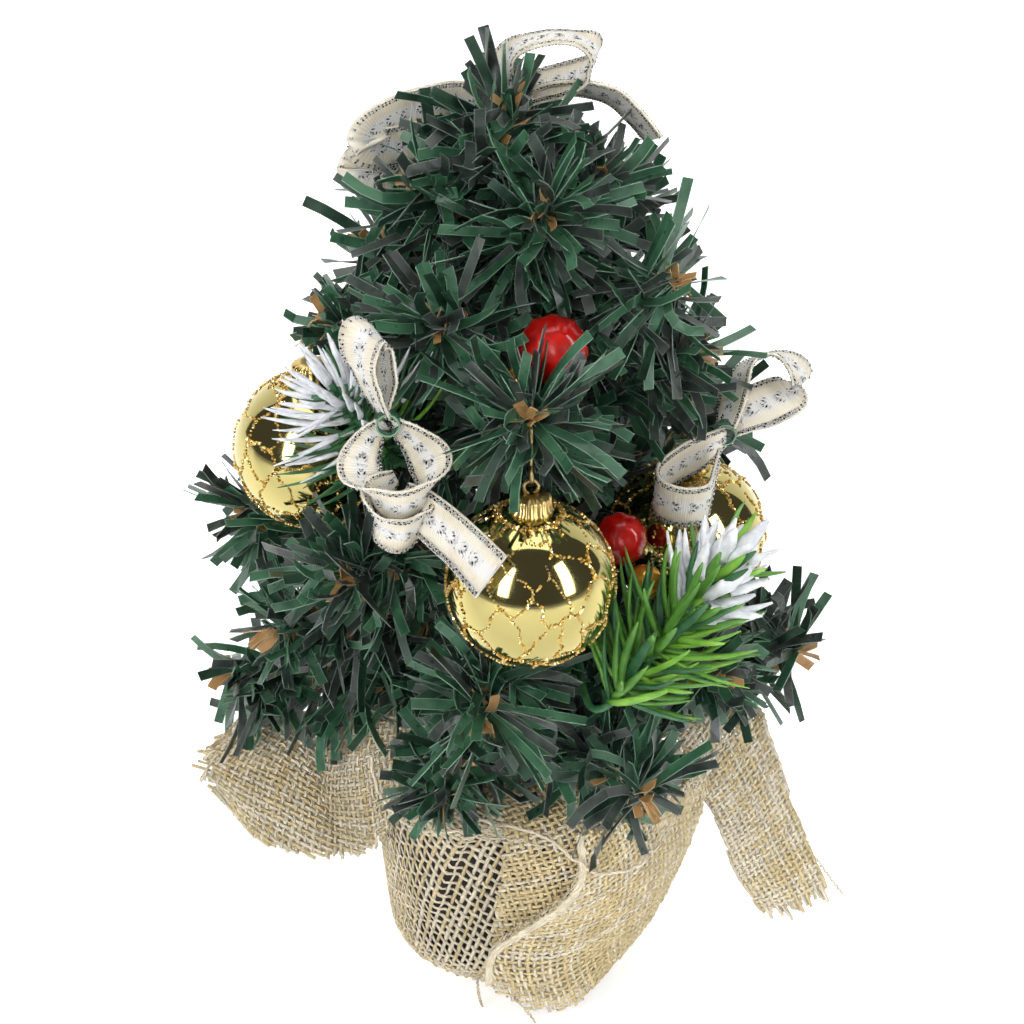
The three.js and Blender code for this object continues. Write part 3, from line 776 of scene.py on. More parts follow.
def make_bauble(name, branch, seed):
    rng = np.random.default_rng(seed)
    hook_node = f"bauble_{name}_hook"
    pivot = joint_at(f"bauble_{name}_swing")
    centre = box_centre(f"bauble_{name}_ball")
    body = f"bauble_{name}"
    ball = Bundle()
    arc = np.linspace(-math.pi / 2, math.pi / 2 - 0.12, 48)
    neck = [(1.8, BALL_RADIUS), (1.7, BALL_RADIUS - 1.2)]
    profile = [(0, -BALL_RADIUS)] + [(BALL_RADIUS * math.cos(t), BALL_RADIUS * math.sin(t)) for t in arc[1:]]
    ball.lathe(profile + neck + [(0, BALL_RADIUS - 1.2)], 72, centre, slot=0)
    ball.build(f"bauble_{name}_shell", body, [MIRROR_GOLD], replaces=[f"bauble_{name}_ball"])
    KEEP_OUT_BALLS.append((centre, BALL_RADIUS + 0.8))

    grains = Bundle()
    octahedron = np.array([(1, 0, 0), (0, 1, 0), (0, 0, 1), (-1, 0, 0), (0, -1, 0), (0, 0, -1)], float)
    faces = [(0, 1, 2), (1, 3, 2), (3, 4, 2), (4, 0, 2), (1, 0, 5), (3, 1, 5), (4, 3, 5), (0, 4, 5)]
    for direction in crackle(rng):
        turned = unit(rng.normal(size=(3, 3)))
        turned[1] = unit(np.cross(turned[0], turned[1]))
        turned[2] = np.cross(turned[0], turned[1])
        direction = unit(direction + rng.normal(0, 0.006, 3))
        size = rng.uniform(0.19, 0.34)
        at = centre + direction * (BALL_RADIUS + 0.12)
        grains.add(at + octahedron @ turned * size, tris=faces, slot=int(rng.random() < 0.3))
    grains.build(f"bauble_{name}_glitter", body, [GRAIN_GOLD, GRAIN_BRIGHT], smooth=False)

    cap = Bundle()
    foot = BALL_RADIUS - 0.35

    def flutes(a, radius):
        return 0.05 * np.cos(18 * a) * (radius > 3)

    cap_rings = [(0, 0), (3.9, 0), (3.8, 0.5), (3.5, 0.7), (3.45, 2.6), (3.2, 3.1), (1.6, 3.5), (0, 3.6)]
    cap.lathe([(radius, foot + rise) for radius, rise in cap_rings], 72, centre, slot=0, ripple=flutes)
    radial = unit(np.array([pivot[0], pivot[1], 0.0]))
    ring_low = centre + UP * (foot + 3.4)
    ring_radius = (pivot - ring_low)[2] / 2
    tangent = np.cross(UP, radial)  # the ring stands across the branch
    angles = np.linspace(0, 2 * math.pi, 33)
    loop = ring_low + UP * ring_radius + np.outer(np.sin(angles), tangent) * ring_radius
    loop -= np.outer(np.cos(angles), UP) * (ring_radius + 0.15)
    cap.sweep(loop, radial, round_profile(8, 0.36, 0.36), slot=1)
    materials = [CAP_GOLD, HOOK_WIRE]
    cap.build(f"bauble_{name}_crown", body, materials, replaces=[f"bauble_{name}_cap"])
    keep_out(cap)

    hook = Bundle()
    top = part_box(hook_node)[1][2] / MM + 2.6
    eye = 1.5
    start = pivot + UP * (eye - 0.1)
    bend = np.linspace(-0.5 * math.pi, 1.35 * math.pi, 26)
    curl = start + np.outer(np.cos(bend), radial) * eye + np.outer(np.sin(bend), UP) * eye
    stem = [curl[-1] + (np.array([pivot[0], pivot[1], curl[-1][2] + 1.2]) - curl[-1]) * t for t in (0.5, 1.0)]
    above = np.array([pivot[0], pivot[1], top])
    over = [above - UP, above - radial, above - UP * 0.6 - radial * 3.0]
    path = spline(np.concatenate([curl[::3], stem, over]), 70)
    hook.sweep(path, np.cross(radial, UP), round_profile(8, 0.36, 0.36), slot=0)
    hook.build(f"bauble_{name}_hook_wire", branch, [HOOK_WIRE], replaces=[hook_node])


# ---------------------------------------------------------------- ribbon bows
RIBBON_WIDTH = 9.4
RIBBON_THICKNESS = 0.4
RIBBON_ACROSS = (0, 0.25, 0.5, 0.75, 1, 1, 0.75, 0.5, 0.25, 0, 0)


def ribbon(bundle, points, widths, seed, gathered=(0.2, 0.2), pinch=0.4):
    """A stitched ribbon along points. widths are the directions that its width lies along at each point.

    gathered is the share of its length at each end over which it narrows to pinch times its width.
    """
    rng = np.random.default_rng(seed)
    count = 72
    path = even(spline(np.array(points, float), 4 * count), count)
    across = unit(spline(np.array(widths, float), count))
    tangents = unit(np.gradient(path, axis=0))
    across = unit(across - tangents * (across * tangents).sum(axis=1, keepdims=True))
    normals = np.cross(across, tangents)
    length = float(np.linalg.norm(np.diff(path, axis=0), axis=1).sum())
    share = np.linspace(0, 1, count)
    narrow = np.ones(count)
    for end, reach in zip((share, 1 - share), gathered):
        if reach:
            narrow *= pinch + (1 - pinch) * np.sin(np.clip(end / reach, 0, 1) * math.pi / 2)
    w, t = RIBBON_WIDTH / 2, RIBBON_THICKNESS / 2
    top = [(-w, t), (-w / 2, t + 0.14), (0, t + 0.03), (w / 2, t + 0.14), (w, t)]
    profile = np.array([(x, y - 2 * t) for x, y in top] + top[::-1])
    bundle.sweep(path, normals, profile, np.stack([narrow, np.ones(count)], axis=1), 0, RIBBON_ACROSS)

    def place(s, side, height):
        x = np.clip(s / length, 0, 1) * (count - 1)
        i = min(int(x), count - 2)
        f = x - i
        at, n, sd = (field[i] * (1 - f) + field[i + 1] * f for field in (path, normals, across))
        n, sd = unit(n), -unit(sd)
        return at + sd * side * (narrow[i] * (1 - f) + narrow[i + 1] * f) + n * height, n, sd

    def chip(s, side, face, half_length, half_width, angle, slot):
        """A flat lozenge of thread lying on one face of the ribbon."""
        at, n, sd = place(s, side, face * (t + 0.16))
        along = np.cross(n, sd)
        d = along * math.cos(angle) + sd * math.sin(angle)
        e = np.cross(n, d)
        ring = [at + d * half_length, at + e * half_width, at - d * half_length, at - e * half_width]
        verts = np.array(ring + [at + n * 0.13, at - n * 0.13])
        faces = [(k, (k + 1) % 4, 4) for k in range(4)] + [((k + 1) % 4, k, 5) for k in range(4)]
        bundle.add(verts, tris=faces, slot=slot)

    for face in (-1, 1):
        for edge in (-1, 1):
            for row in (0, 1):
                for k, s in enumerate(np.arange(0.3, length, 0.55)):
                    dark = (k + row) % 2 == 0 and rng.random() < 0.75
                    size = 0.27 if dark else 0.34
                    turned = rng.normal(0, 0.3)
                    chip(s, edge * (w - 0.4 - 0.55 * row), face, size, size, turned, 2 if dark else 1)
        for s in np.arange(1.6, length - 1, 3.1):
            for edge in (-1, 1):
                for k, slot in enumerate((1, 2, 1)):
                    chip(s - 0.55 * k, edge * (0.2 + 0.42 * k), face, 0.48, 0.2, edge * 2.5, slot)
            for k in range(5):
                along, side = rng.uniform(-1.3, 1.3), rng.uniform(-1.2, 1.2)
                chip(s + along, side, face, 0.26, 0.17, rng.uniform(0, 3), 1)


# Each run is the ribbon's points, the way its width lies at each of them, and how it is gathered at its ends.
BOWS = {
    "bow_left": dict(
        knot=(-21.4, -42.6, 139.4),
        wire=[(-21.4, -42, 139), (-14, -26, 131), (-2.2, -3.9, 124)],
        runs=[
            # an upright loop, seen from its side
            (
                [(-21.8, -42, 140), (-24.4, -41, 145), (-26, -40, 150), (-25.4, -37, 153.5),
                 (-22.6, -35, 151.5),
                 (-21.9, -37, 145), (-21.8, -41, 140.5)],
                [(0.3, -0.5, 0), (0.55, -0.8, -0.2), (0.55, -0.8, -0.2), (0.5, -0.8, -0.3), (0.4, -0.9, 0),
                 (0.4, -0.9, 0), (0.2, -0.9, 0)],
                (0.2, 0.2), 0.45,
            ),
            # the wide loop that opens towards the front
            (
                [(-21.6, -41.5, 139), (-17.6, -42, 136.2), (-14.2, -43.5, 132.2), (-14.6, -47.5, 128.6),
                 (-19.6, -50.6, 127), (-24.6, -48.8, 128.8), (-26.4, -45.2, 132.4), (-24.6, -42.8, 136.4),
                 (-22, -41.8, 139)],
                [(0.5, -0.3, 0.5), (0.62, -0.35, 0.62), (0.7, -0.1, 0.7), (0.35, -0.25, 0.9),
                 (0.1, -0.4, 0.92),
                 (-0.3, -0.35, 0.88), (-0.8, -0.15, 0.55), (-0.75, -0.35, 0.5), (-0.5, -0.3, 0.5)],
                (0.3, 0.3), 0.35,
            ),
            # the smaller loop under it
            (
                [(-20.4, -43, 129), (-24.2, -46, 126.4), (-23, -49.4, 122.6), (-18.8, -49.6, 120.8),
                 (-15.6, -46.2, 122.6), (-18.6, -43, 126.6)],
                [(0, -0.2, 0.95), (-0.3, -0.3, 0.9), (-0.1, -0.35, 0.92), (0.15, -0.35, 0.92),
                 (0.3, -0.2, 0.92),
                 (0, -0.2, 0.95)],
                (0.25, 0.25), 0.4,
            ),
            # the tail that ends on the front bauble
            (
                [(-19, -44, 126), (-14.4, -48, 123.6), (-9, -54.4, 122), (-3.6, -61.4, 119.6)],
                [(0.3, -0.15, 0.9), (0.45, -0.1, 0.88), (0.5, -0.05, 0.85), (0.55, 0.2, 0.8)],
                (0.25, 0), 0.6,
            ),
        ],
    ),
    "bow_right": dict(
        knot=(40, -6.5, 118),
        wire=[(40, -6.5, 118), (22, -12, 112), (4, -2.3, 108)],
        runs=[
            (
                [(40, -6, 118.5), (41.6, -3, 124), (44, -0.4, 129), (48, 0.6, 130.6), (52, 0.8, 129),
                 (54.6, 0.4, 126), (53.2, -0.6, 123.6), (49, -2.2, 122.4), (44.4, -4.4, 121.2),
                 (40.6, -6, 118.8)],
                [(0.5, -0.8, 0.1), (0.45, -0.85, 0.15), (0.3, -0.9, 0.3), (0.1, -0.85, 0.5),
                 (-0.3, -0.85, 0.4),
                 (-0.45, -0.85, 0.1), (-0.2, -0.9, -0.4), (0.1, -0.8, -0.6), (0.3, -0.7, -0.6),
                 (0.4, -0.8, -0.4)],
                (0.2, 0.2), 0.55,
            ),
            # the loop that lies on the right bauble, with its wall upright
            (
                [(40, -7, 117.4), (35.6, -10.4, 116), (30.4, -13.4, 114.4), (26.8, -17.4, 113.2),
                 (27, -21.6, 112.4), (31, -23.8, 111.8), (35.6, -22.6, 111.8), (37, -18, 112.8),
                 (38.6, -11, 115.4)],
                [(0.05, -0.2, 0.97)] * 9,
                (0.2, 0.25), 0.5,
            ),
        ],
    ),
    "bow_back": dict(
        knot=(-26.5, 36.4, 129),
        wire=[(-26.5, 36.4, 129), (-15, 20, 127), (-2.5, 3.5, 126)],
        runs=[
            (
                [(-26.5, 36.4, 129), (-28.4, 40, 133), (-28, 44, 134), (-25.6, 46, 130.6), (-26.4, 43, 127),
                 (-27, 39, 128)],
                [(0.2, 0.3, 0.9)] * 6,
                (0.25, 0.25), 0.45,
            ),
            (
                [(-26.5, 36.4, 129), (-20, 41, 133), (-14, 44, 135), (-11, 44.4, 131), (-15, 42, 128),
                 (-24, 37.6, 128)],
                [(0.1, 0.3, 0.9)] * 6,
                (0.25, 0.25), 0.45,
            ),
            (
                [(-26.5, 37, 129), (-27.5, 40, 122), (-25, 41.5, 116)],
                [(0.9, 0.2, 0), (0.9, 0.3, 0.1), (0.8, 0.4, 0.2)],
                (0.3, 0), 0.5,
            ),
        ],
    ),
    "bow_top": dict(
        knot=(-4, 11.5, 176),
        wire=[(-4, 11.5, 176), (-4, 8, 169), (-3.6, 2.6, 163)],
        runs=[
            # two loops to the left, one above the other
            (
                [(-4, 10.6, 176.6), (-10, 9, 178), (-17, 7, 177.4), (-22.6, 5, 175.8), (-26, 4, 173.2),
                 (-24.8, 5, 170.6), (-19, 7, 170.6), (-12, 9.6, 172.6)],
                [(0, -0.4, 0.9)] + [(-0.1, -0.3, 0.95)] * 6 + [(0, -0.4, 0.9)],
                (0.2, 0.2), 0.5,
            ),
            (
                [(-4, 11.6, 175), (-13, 12.4, 171.4), (-20, 10.6, 169.6), (-26, 8.6, 167.6),
                 (-28, 8.4, 164.8),
                 (-24, 10.2, 163), (-15, 12.6, 166)],
                [(-0.1, -0.3, 0.95)] * 7,
                (0.2, 0.2), 0.5,
            ),
            # the loop that stands up at the right
            (
                [(-3.4, 10.4, 175.6), (-2.4, 9, 182), (0.4, 7.4, 188.4), (5.4, 6.4, 191), (10.7, 6.2, 191.2),
                 (14.6, 6.8, 188.8), (14, 8.4, 184.6), (9.6, 9.6, 182), (4.4, 10.2, 180.2), (-1, 10.6, 177)],
                [(0.6, -0.75, 0.1), (0.6, -0.75, 0.2), (0.4, -0.85, 0.2), (0.05, -0.97, 0.1),
                 (0, -0.97, 0.12),
                 (-0.3, -0.9, 0.1), (-0.1, -0.9, -0.2), (0.1, -0.9, -0.3), (0.2, -0.9, -0.3),
                 (0.4, -0.8, -0.2)],
                (0.2, 0.2), 0.55,
            ),
            # the tail, seen almost edge on
            (
                [(-2.2, 10.6, 176.3), (8, 9.6, 180.2), (17.2, 8.6, 179.6), (22, 7.6, 176),
                 (25.8, 6.6, 171.6)],
                [(0.1, -0.8, 0.55), (0.1, -0.8, 0.6), (0.2, -0.8, 0.6), (0.2, -0.8, 0.6), (0.15, -0.8, 0.6)],
                (0.2, 0), 0.5,
            ),
        ],
    ),
}


def make_bow(name, shape, seed):
    bundle = Bundle()
    for i, (points, widths, gathered, pinch) in enumerate(shape["runs"]):
        ribbon(bundle, points, widths, seed + i, gathered, pinch)
    knot = np.array(shape["knot"], float)
    turns = np.linspace(0, 4 * math.pi, 40)
    band = knot + np.stack([np.cos(turns) * 2.0, np.linspace(-0.9, 0.9, 40), np.sin(turns) * 2.2], axis=1)
    around = np.stack([np.cos(turns), 0 * turns, np.sin(turns)], axis=1)
    bundle.sweep(band, around, strip_profile(1.6, 0.3), slot=4, across=STRIP_ACROSS)
    wire = spline(np.array(shape["wire"], float), 24)
    bundle.sweep(wire, (0.1, 0.3, 0.9), round_profile(8, 0.5, 0.5), slot=3)
    materials = [RIBBON, SILVER, GLINT, WIRE, GREEN]
    bundle.build(name + "_ribbon", "stand", materials, replaces=[name])
    keep_out(bundle)


# ---------------------------------------------------------------- pine picks and berries
# flock is how far along the stem it starts, the share of needles that have it, and how thick it lies. dark is
# the share of dark needles. lean and tip_lean are how far needles stand off the stem, in degrees, at its foot
# and at its tip.
PICKS = {
    "pick_right": dict(
        start=(17, -45, 82), end=(40.5, -36, 110), count=128, radius=0.92, length=(15.5, 19.5),
        flock=(0.60, 0.6, 1.75), dark=0.22, lean=(44, 84), tip_lean=(12, 58), seed=5,
    ),
    "pick_left": dict(
        start=(-21, -26, 123), end=(-32, -27, 138), count=96, radius=0.62, length=(16, 21),
        flock=(0.45, 0.9, 1.2), dark=0.9, lean=(60, 100), tip_lean=(4, 80), seed=6,
    ),
    "pick_back": dict(
        start=(-31, 22, 85), end=(-41, 29, 109), count=90, radius=0.75, length=(10, 15),
        flock=(0.6, 0.6, 1.4), dark=0.4, lean=(50, 80), tip_lean=(10, 46), seed=7,
    ),
}


def make_pick(name, shape):
    """A moulded pick: tapered needles all round a stem, the upper ones flocked white."""
    rng = np.random.default_rng(shape["seed"])
    start, end = (np.array(shape[k], float) for k in ("start", "end"))
    axis = unit(end - start)
    length = np.linalg.norm(end - start)
    bundle = Bundle()
    root = joint_at(f"{name}_bend")
    wire = Bundle()
    stem = spline([root, root + (start - root) * 0.6, start, start + axis * length * 0.9], 40)
    wire.sweep(stem, (0.1, 0.2, 0.9), round_profile(8, 0.7, 0.7))
    wire.build(f"{name}_wire", name, [PICK_DARK], replaces=[f"{name}_stem"])
    side = unit(np.cross(axis, UP))
    profile = round_profile(6, 1.0, 0.55)
    for i in range(shape["count"]):
        t = (i + rng.uniform(0, 1)) / shape["count"]
        base = start + axis * length * (0.02 + 0.88 * t)
        size = rng.uniform(*shape["length"]) * (0.7 + 0.35 * math.sin(math.pi * min(t + 0.2, 1)))
        for attempt in range(8):
            out = turn(side, axis, i * 2.399 + rng.normal(0, 0.3) + attempt * 0.8)
            lean = rng.uniform(*shape["lean"]) * (1 - t**2)
            lean = math.radians(lean + rng.uniform(*shape["tip_lean"]) * t**2)
            heading = unit(axis * math.cos(lean) + out * math.sin(lean))
            hinge = unit(np.cross(heading, axis))
            curl = rng.uniform(0.02, 0.09)
            curve = [base]
            for k in range(7):
                curve.append(curve[-1] + turn(heading, hinge, curl * k + rng.normal(0, 0.02)) * size / 7)
            curve = np.array(curve)
            if is_clear(curve[1:]):
                break
        else:
            continue
        taper = np.array([0.7, 1.0, 1.05, 1.03, 0.98, 0.86, 0.64, 0.22])[:, None] * shape["radius"]
        taper = taper * rng.uniform(0.85, 1.15)
        normal = unit(np.cross(heading, np.cross(out, axis)))
        flock_start, flock_share, flock_thick = shape["flock"]
        flocked = rng.random() < flock_share and t > flock_start + rng.normal(0, 0.05)
        split = int(rng.integers(1, 4)) if flocked else 7
        # painted shade: needles that point down or to the left take the darker middle green far more often
        shaded_side = heading @ UP < 0.2 or out[0] < -0.1
        slot = 1 if rng.random() < shape["dark"] else (3 if rng.random() < (0.8 if shaded_side else 0.35) else 0)
        bundle.sweep(curve[: split + 1], normal, profile, taper[: split + 1], slot)
        if flocked:
            rough = flock_thick * (1 + 0.12 * rng.standard_normal((8 - split, 1)))
            bundle.sweep(curve[split:], normal, profile, taper[split:] * rough, 2)
    materials = [PICK_GREEN, PICK_DARK, FLOCK, PICK_MIDDLE_AND_SHADE]
    bundle.build(f"{name}_needles", name, materials, replaces=[f"{name}_sprig"])
    for t in (0.2, 0.5, 0.8):
        KEEP_OUT_BALLS.append((start + axis * length * t, 5.0))


BERRIES = {  # radius, where its wire ends on the trunk, and where its bead lies beside it
    "berry_front": (6.3, (1, -3.8, 145), (-5.5, -3.0, -5.0)),
    "berry_right": (5.0, (2.5, -3.1, 105), (4.5, -5.0, -6.0)),
}
BEAD_RADIUS = 3.2
BERRY_FACING = unit(np.array([0.15, -0.8, 0.45]))


def ball_profile(radius, count, dip=0.0):
    """[radius, height] points from pole to pole of a ball. dip is how far its top is sunk, in radii."""
    arc = np.linspace(-math.pi / 2, math.pi / 2, count)
    sunk = dip * np.exp(-(((arc - math.pi / 2) / 0.35) ** 2))
    points = [(radius * math.cos(t), radius * (math.sin(t) - d)) for t, d in zip(arc, sunk)]
    return [(0, points[0][1])] + points[1:-1] + [(0, points[-1][1])]


def creased(a, radius):
    return 0.022 * np.cos(11 * a) * np.clip(radius / 4, 0, 1)


def make_berries():
    for name, (radius, wire_end, bead_place) in BERRIES.items():
        low, high = (np.array(p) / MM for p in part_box(name))
        centre = np.array([high[0] - radius, low[1] + radius, (low[2] + high[2]) / 2])
        bead = centre + np.array(bead_place)
        bundle = Bundle()
        bundle.lathe(ball_profile(radius, 40, 0.16), 88, centre, BERRY_FACING, 0, creased)
        wire = [centre - BERRY_FACING * radius * 0.8, (centre + np.array(wire_end)) / 2, wire_end]
        bundle.sweep(spline(wire, 20), (0, 0.2, 1), round_profile(8, 0.5, 0.5), slot=1)
        bundle.lathe(ball_profile(BEAD_RADIUS, 24), 40, bead, BERRY_FACING, 2)
        bundle.build(name + "_ball", "stand", [RED, WIRE, AMBER], replaces=[name])
        KEEP_OUT_BALLS.append((centre, radius + 0.6))
        KEEP_OUT_BALLS.append((bead, 3.5))


# ---------------------------------------------------------------- tinsel branches
NEEDLE_WIDTH = 1.95
NEEDLE_THICKNESS = 0.16
NEEDLES_PER_MM = 5.4
WIRE_SHORT_OF_TIP = 8.0
TINSEL = [GREEN, DEEP, SLATE, TAN, WIRE]
TINSEL_SHARES = (0.42, 0.22, 0.36)  # green, deep green, slate
TIP_REACH = {  # how long the needles near these tips are cut, against the others
    "branch_1_1": 0.66, "branch_1_2": 0.85, "branch_1_3": 0.85, "branch_1_5": 0.85, "branch_2_2": 0.7,
    "branch_2_5": 0.75, "branch_3_3": 0.85, "branch_4_4": 0.6, "branch_6_2": 0.85, "branch_6_4": 1.25,
    "branch_leader": 0.9,
}
# branches whose needles are combed back from the tip
SWEPT = ("branch_1_2", "branch_1_3", "branch_1_5", "branch_5_2", "branch_5_4")
NEEDLES_AT_TIP = 26
CLUMP = 7  # how many needles in a row lean the same way
LINE_POINTS = 60  # along a branch's wire
TRUNK_STRIPS = 800
STRAY_HAIRS = 26


def needle(bundle, rng, base, heading, length, width, slot, bend, twist=0.1):
    """One flat cut strip that leaves the wire at base. Returns whether it found room."""
    segments = 5
    roll = turn(unit(np.cross(heading, [0.3, 0.5, 0.81])), heading, rng.uniform(0, 2 * math.pi))
    hinge = unit(np.cross(heading, rng.normal(size=3)))
    twist = rng.normal(0, twist)
    points, ups = [base], [roll]
    way = heading
    kink = rng.integers(1, segments) if rng.random() < 0.22 else -1
    for k in range(segments):
        angle = bend * rng.uniform(0.5, 1.5) / segments + (rng.normal(0, 0.55) if k == kink else 0)
        way = unit(turn(way, hinge, angle))
        points.append(points[-1] + way * length / segments)
        roll = turn(roll, way, twist)
        ups.append(roll)
    points = np.array(points)
    if points[:, 2].min() < 1 or not is_clear(points):
        return False
    bundle.sweep(points, np.array(ups), strip_profile(width, NEEDLE_THICKNESS), None, slot, STRIP_ACROSS)
    return True


def make_branch(name, seed):
    rng = np.random.default_rng(seed)
    root = joint_at(name + "_bend")
    tip = node_tip(name, root)
    axis = unit(tip - root)
    swept = name in SWEPT
    length = np.linalg.norm(tip - root) - (2.0 if swept else WIRE_SHORT_OF_TIP)
    side = unit(np.cross(axis, UP if abs(axis[2]) < 0.9 else [1.0, 0.0, 0.0]))
    sway = rng.normal(0, 1.2, 3)
    shares = np.linspace(0, 1, LINE_POINTS)
    line = root + np.outer(shares * length, axis) + np.outer(np.sin(math.pi * shares), sway)
    bundle = Bundle()
    phase = np.linspace(0, 2 * math.pi * length / 4.5, 120)
    for offset in (0, math.pi):
        ring = np.outer(np.cos(phase + offset), side) + np.outer(np.sin(phase + offset), np.cross(axis, side))
        bundle.sweep(spline(line, 120) + ring * 0.42, ring, round_profile(6, 0.42, 0.42), slot=4)
    count = int(length * NEEDLES_PER_MM) + NEEDLES_AT_TIP
    trim = TIP_REACH.get(name, 1.0)
    opened = rng.uniform(-4, 30)  # how far the strips at the tip are spread, in degrees
    tip_lean = (100, 160) if swept else (18 + opened, 70 + opened)
    for i in range(count):
        along_wire = count - NEEDLES_AT_TIP
        t = 1.0 if i >= along_wire else 0.06 + 0.94 * (i + rng.uniform(0, 1)) / along_wire
        base = line[int(t * (LINE_POINTS - 1))] - axis * (rng.uniform(0, 4.0) if t == 1.0 else 0)
        reach = rng.uniform(12.0, 21.0) * (1 - (1 - trim) * max(0, 2 * t - 1))
        if t == 1.0:
            reach *= rng.uniform(0.9, 1.15) if swept else rng.uniform(0.65, 0.95)
        if i % CLUMP == 0:  # the next few needles were pushed aside together
            comb = rng.normal(0, 0.42, 3)
            clump = rng.uniform(0, 2 * math.pi)
        spread = t**2.5
        lean = rng.normal(54, 22) * (1 - spread) + rng.uniform(*tip_lean) * spread
        lean = math.radians(np.clip(lean, 5, 165))
        slot = rng.choice([0, 1, 2], p=TINSEL_SHARES)
        bend = abs(rng.normal(0, 0.7))
        for attempt in range(8):
            out = turn(side, axis, clump + rng.normal(0, 0.55 + 0.4 * attempt))
            heading = unit(axis * math.cos(lean) + out * math.sin(lean) + comb + rng.normal(0, 0.16, 3))
            width = NEEDLE_WIDTH * rng.uniform(0.88, 1.1)
            size = reach * (1 - 0.07 * attempt)
            if needle(bundle, rng, base + out * 0.4, heading, size, width, slot, bend):
                break
    at_tip = 4 if swept else int(rng.integers(4, 9))
    shorts = int(length * 0.7) + at_tip
    for i in range(shorts):
        t = 1.0 if i >= shorts - at_tip else 0.25 + 0.75 * (i + rng.random()) / (shorts - at_tip)
        out = turn(side, axis, rng.uniform(0, 2 * math.pi))
        lean = math.radians(rng.uniform(8, 60) if t == 1 else rng.uniform(40, 85))
        heading = unit(axis * math.cos(lean) + out * math.sin(lean))
        ahead = rng.uniform(-1.0, 1.2 if swept else 3.0) if t == 1 else 0
        base = line[int(t * (LINE_POINTS - 1))] + out * 0.3 + axis * ahead
        size = rng.uniform(3.0, 5.6)
        needle(bundle, rng, base, heading, size, rng.uniform(1.3, 2.1), 3, rng.normal(0, 0.3), 0.08)
    if name == "branch_leader":  # two strips that stand out from the rest
        for heading, size in (((-0.14, 0.0, 1.0), 19.0), ((-0.80, -0.1, 0.60), 21.0)):
            base = line[-1] - axis * 3 + np.array([-2.0, -1.0, 0])
            needle(bundle, rng, base, unit(heading), size, NEEDLE_WIDTH, 1, 0.35)
    bundle.build(name + "_tinsel", name, TINSEL, smooth=False, replaces=[name])


def make_trunk_tinsel():
    """The strips wound into the binding between the branches, and a few stray hairs of film."""
    rng = np.random.default_rng(9)
    bundle = Bundle()
    for _ in range(TRUNK_STRIPS):
        z = rng.uniform(56, 176)
        out = polar(rng.uniform(0, 360), 1, 0)
        heading = unit(out + UP * rng.normal(0.25, 0.45) + rng.normal(0, 0.25, 3))
        base = UP * z + out * 3.4
        slot = rng.choice([0, 1, 2], p=(0.25, 0.40, 0.35))
        size = rng.uniform(13, 23) * (1.25 - z / 320)
        needle(bundle, rng, base, heading, size, NEEDLE_WIDTH, slot, rng.normal(0, 0.4))
    for _ in range(STRAY_HAIRS):
        height = rng.uniform(70, 165)
        start = polar(rng.uniform(-100, 100), rng.uniform(12, 34 - 0.18 * (height - 70)), 0) + UP * height
        step = unit(rng.normal(size=3)) * rng.uniform(1.0, 1.8)
        hinge = unit(rng.normal(size=3))
        points = [start]
        for _ in range(7):
            step = turn(step, hinge, rng.uniform(0.1, 0.45))
            points.append(points[-1] + step)
        points = spline(np.array(points), 24)
        if is_clear(points):
            bundle.sweep(points, hinge, round_profile(5, 0.09, 0.09), slot=int(rng.choice([0, 3])))
    bundle.build("trunk_tinsel", "stand", TINSEL, smooth=False)


# ---------------------------------------------------------------- the whole tree
make_burlap()
for i, (name, branch) in enumerate(BAUBLES.items()):
    make_bauble(name, branch, 40 + i)
for i, (name, shape) in enumerate(BOWS.items()):
    make_bow(name, shape, 60 + 10 * i)
make_berries()
for name, shape in PICKS.items():
    make_pick(name, shape)
make_trunk_tinsel()
for i, name in enumerate(n for n in frame["nodes"] if n.startswith("branch_")):
    make_branch(name, 100 + i)

for name, material in {
    "base_pot": PLASTIC,
    "cement_weight": CEMENT,
    "trunk_rod": WIRE,
    "trunk_wrap": TAPE,
    "neck_tie": WIRE,
}.items():
    node = frame["nodes"][name]
    for material_slot in node.material_slots:
        material_slot.material = material


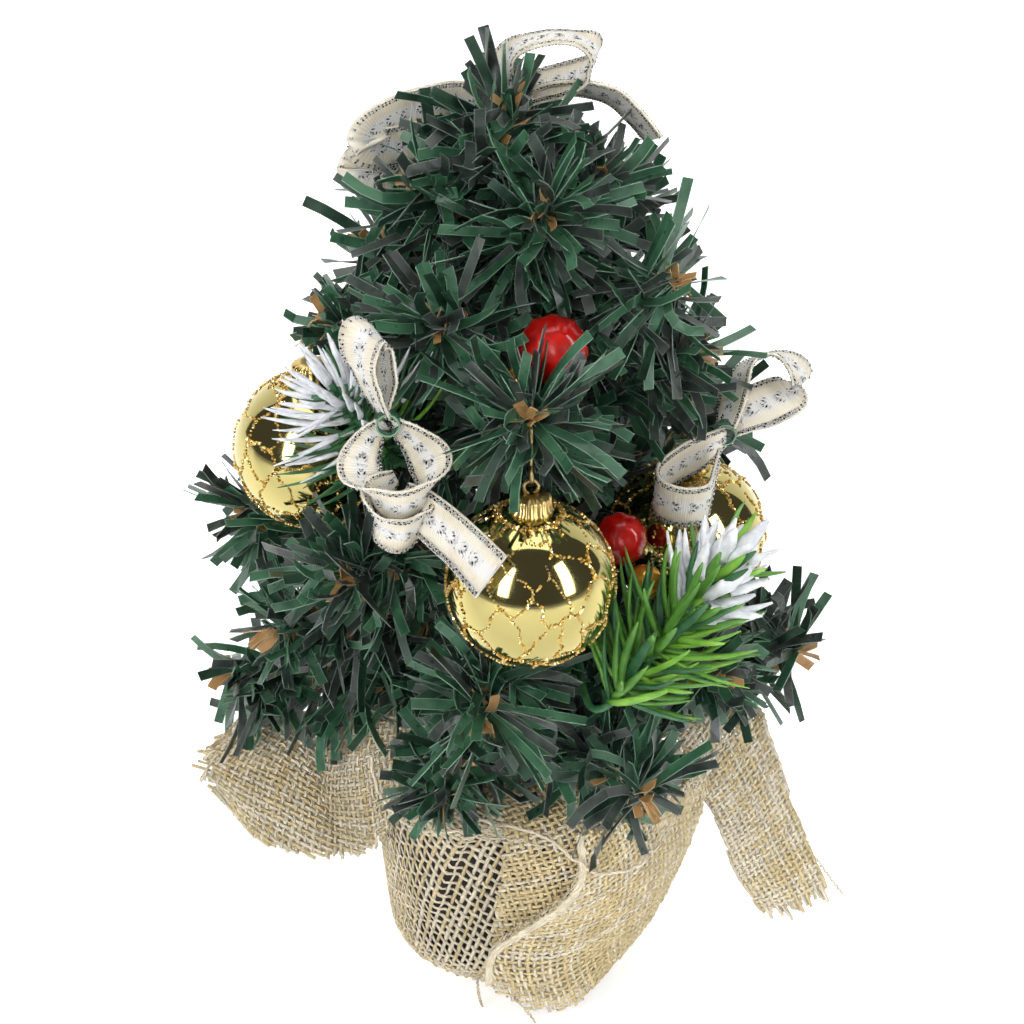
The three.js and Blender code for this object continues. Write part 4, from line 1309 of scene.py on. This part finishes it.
# ---------------------------------------------------------------- floor, backdrop and light
def stage_plane(name, size, place, turned, glow, shines=True):
    """A pale card. glow is how strongly it shines towards the viewer's side and away from it.

    A card that doesn't shine neither lights the tree nor shows in its balls.
    """
    mesh = bpy.data.meshes.new(name)
    h = size / 2
    mesh.from_pydata([(-h, -h, 0), (h, -h, 0), (h, h, 0), (-h, h, 0)], [], [(0, 1, 2, 3)])
    obj = bpy.data.objects.new(name, mesh)
    obj.location = place
    obj.rotation_euler = turned
    n = Nodes(name)
    split = n.add("SeparateXYZ")
    n.link(n.coords, split.inputs["Vector"])
    n.link(n.span(split.outputs["Y"], *glow, -0.12, 0.02), n.shader.inputs["Emission Strength"])
    n.set(Base_Color=(0.85, 0.85, 0.85, 1), Roughness=0.9, Emission_Color=(1, 1, 1, 1))
    mesh.materials.append(n.material)
    obj.visible_glossy = shines
    obj.visible_diffuse = shines
    bpy.context.scene.collection.objects.link(obj)


stage_plane("floor", 6.0, (0, 0, -0.0003), (0, 0, 0), (0.10, 0.62))
stage_plane("backdrop", 6.0, (0, 1.6, 0), (math.pi / 2, 0, 0), (0.6, 0.6))
stage_plane("backdrop_front", 8.0, (0, -4.0, 0), (math.pi / 2, 0, 0), (0.6, 0.6), shines=False)
for side, x in (("left", -2.9), ("right", 2.9)):
    stage_plane("backdrop_" + side, 8.0, (x, 0, 0), (math.pi / 2, 0, math.pi / 2), (0.6, 0.6), shines=False)


def soft_light(name, place, size, power, target=(0, 0, 0.1), glossy=True):
    data = bpy.data.lights.new(name, "AREA")
    data.shape = "RECTANGLE"
    data.size, data.size_y = size
    data.energy = power
    obj = bpy.data.objects.new(name, data)
    obj.location = place
    obj.rotation_euler = (Vector(target) - Vector(place)).to_track_quat("-Z", "Y").to_euler()
    obj.visible_glossy = glossy
    bpy.context.scene.collection.objects.link(obj)


soft_light("left_softbox", (-0.55, -0.75, 0.55), (0.24, 0.7), 5.6)
soft_light("right_softbox", (0.70, -0.55, 0.50), (0.24, 0.7), 4.4)
soft_light("top_softbox", (0, 0.15, 1.1), (0.9, 0.9), 6.0)
soft_light("front_softbox", (-0.08, -1.0, 0.75), (0.35, 0.35), 4.5, target=(0, 0, 0.16), glossy=False)
world = bpy.context.scene.world or bpy.data.worlds.new("world")
bpy.context.scene.world = world
world.use_nodes = True
world.node_tree.nodes["Background"].inputs["Color"].default_value = (0.55, 0.56, 0.58, 1)
world.node_tree.nodes["Background"].inputs["Strength"].default_value = 0.14
bpy.context.scene.view_settings.view_transform = "Standard"
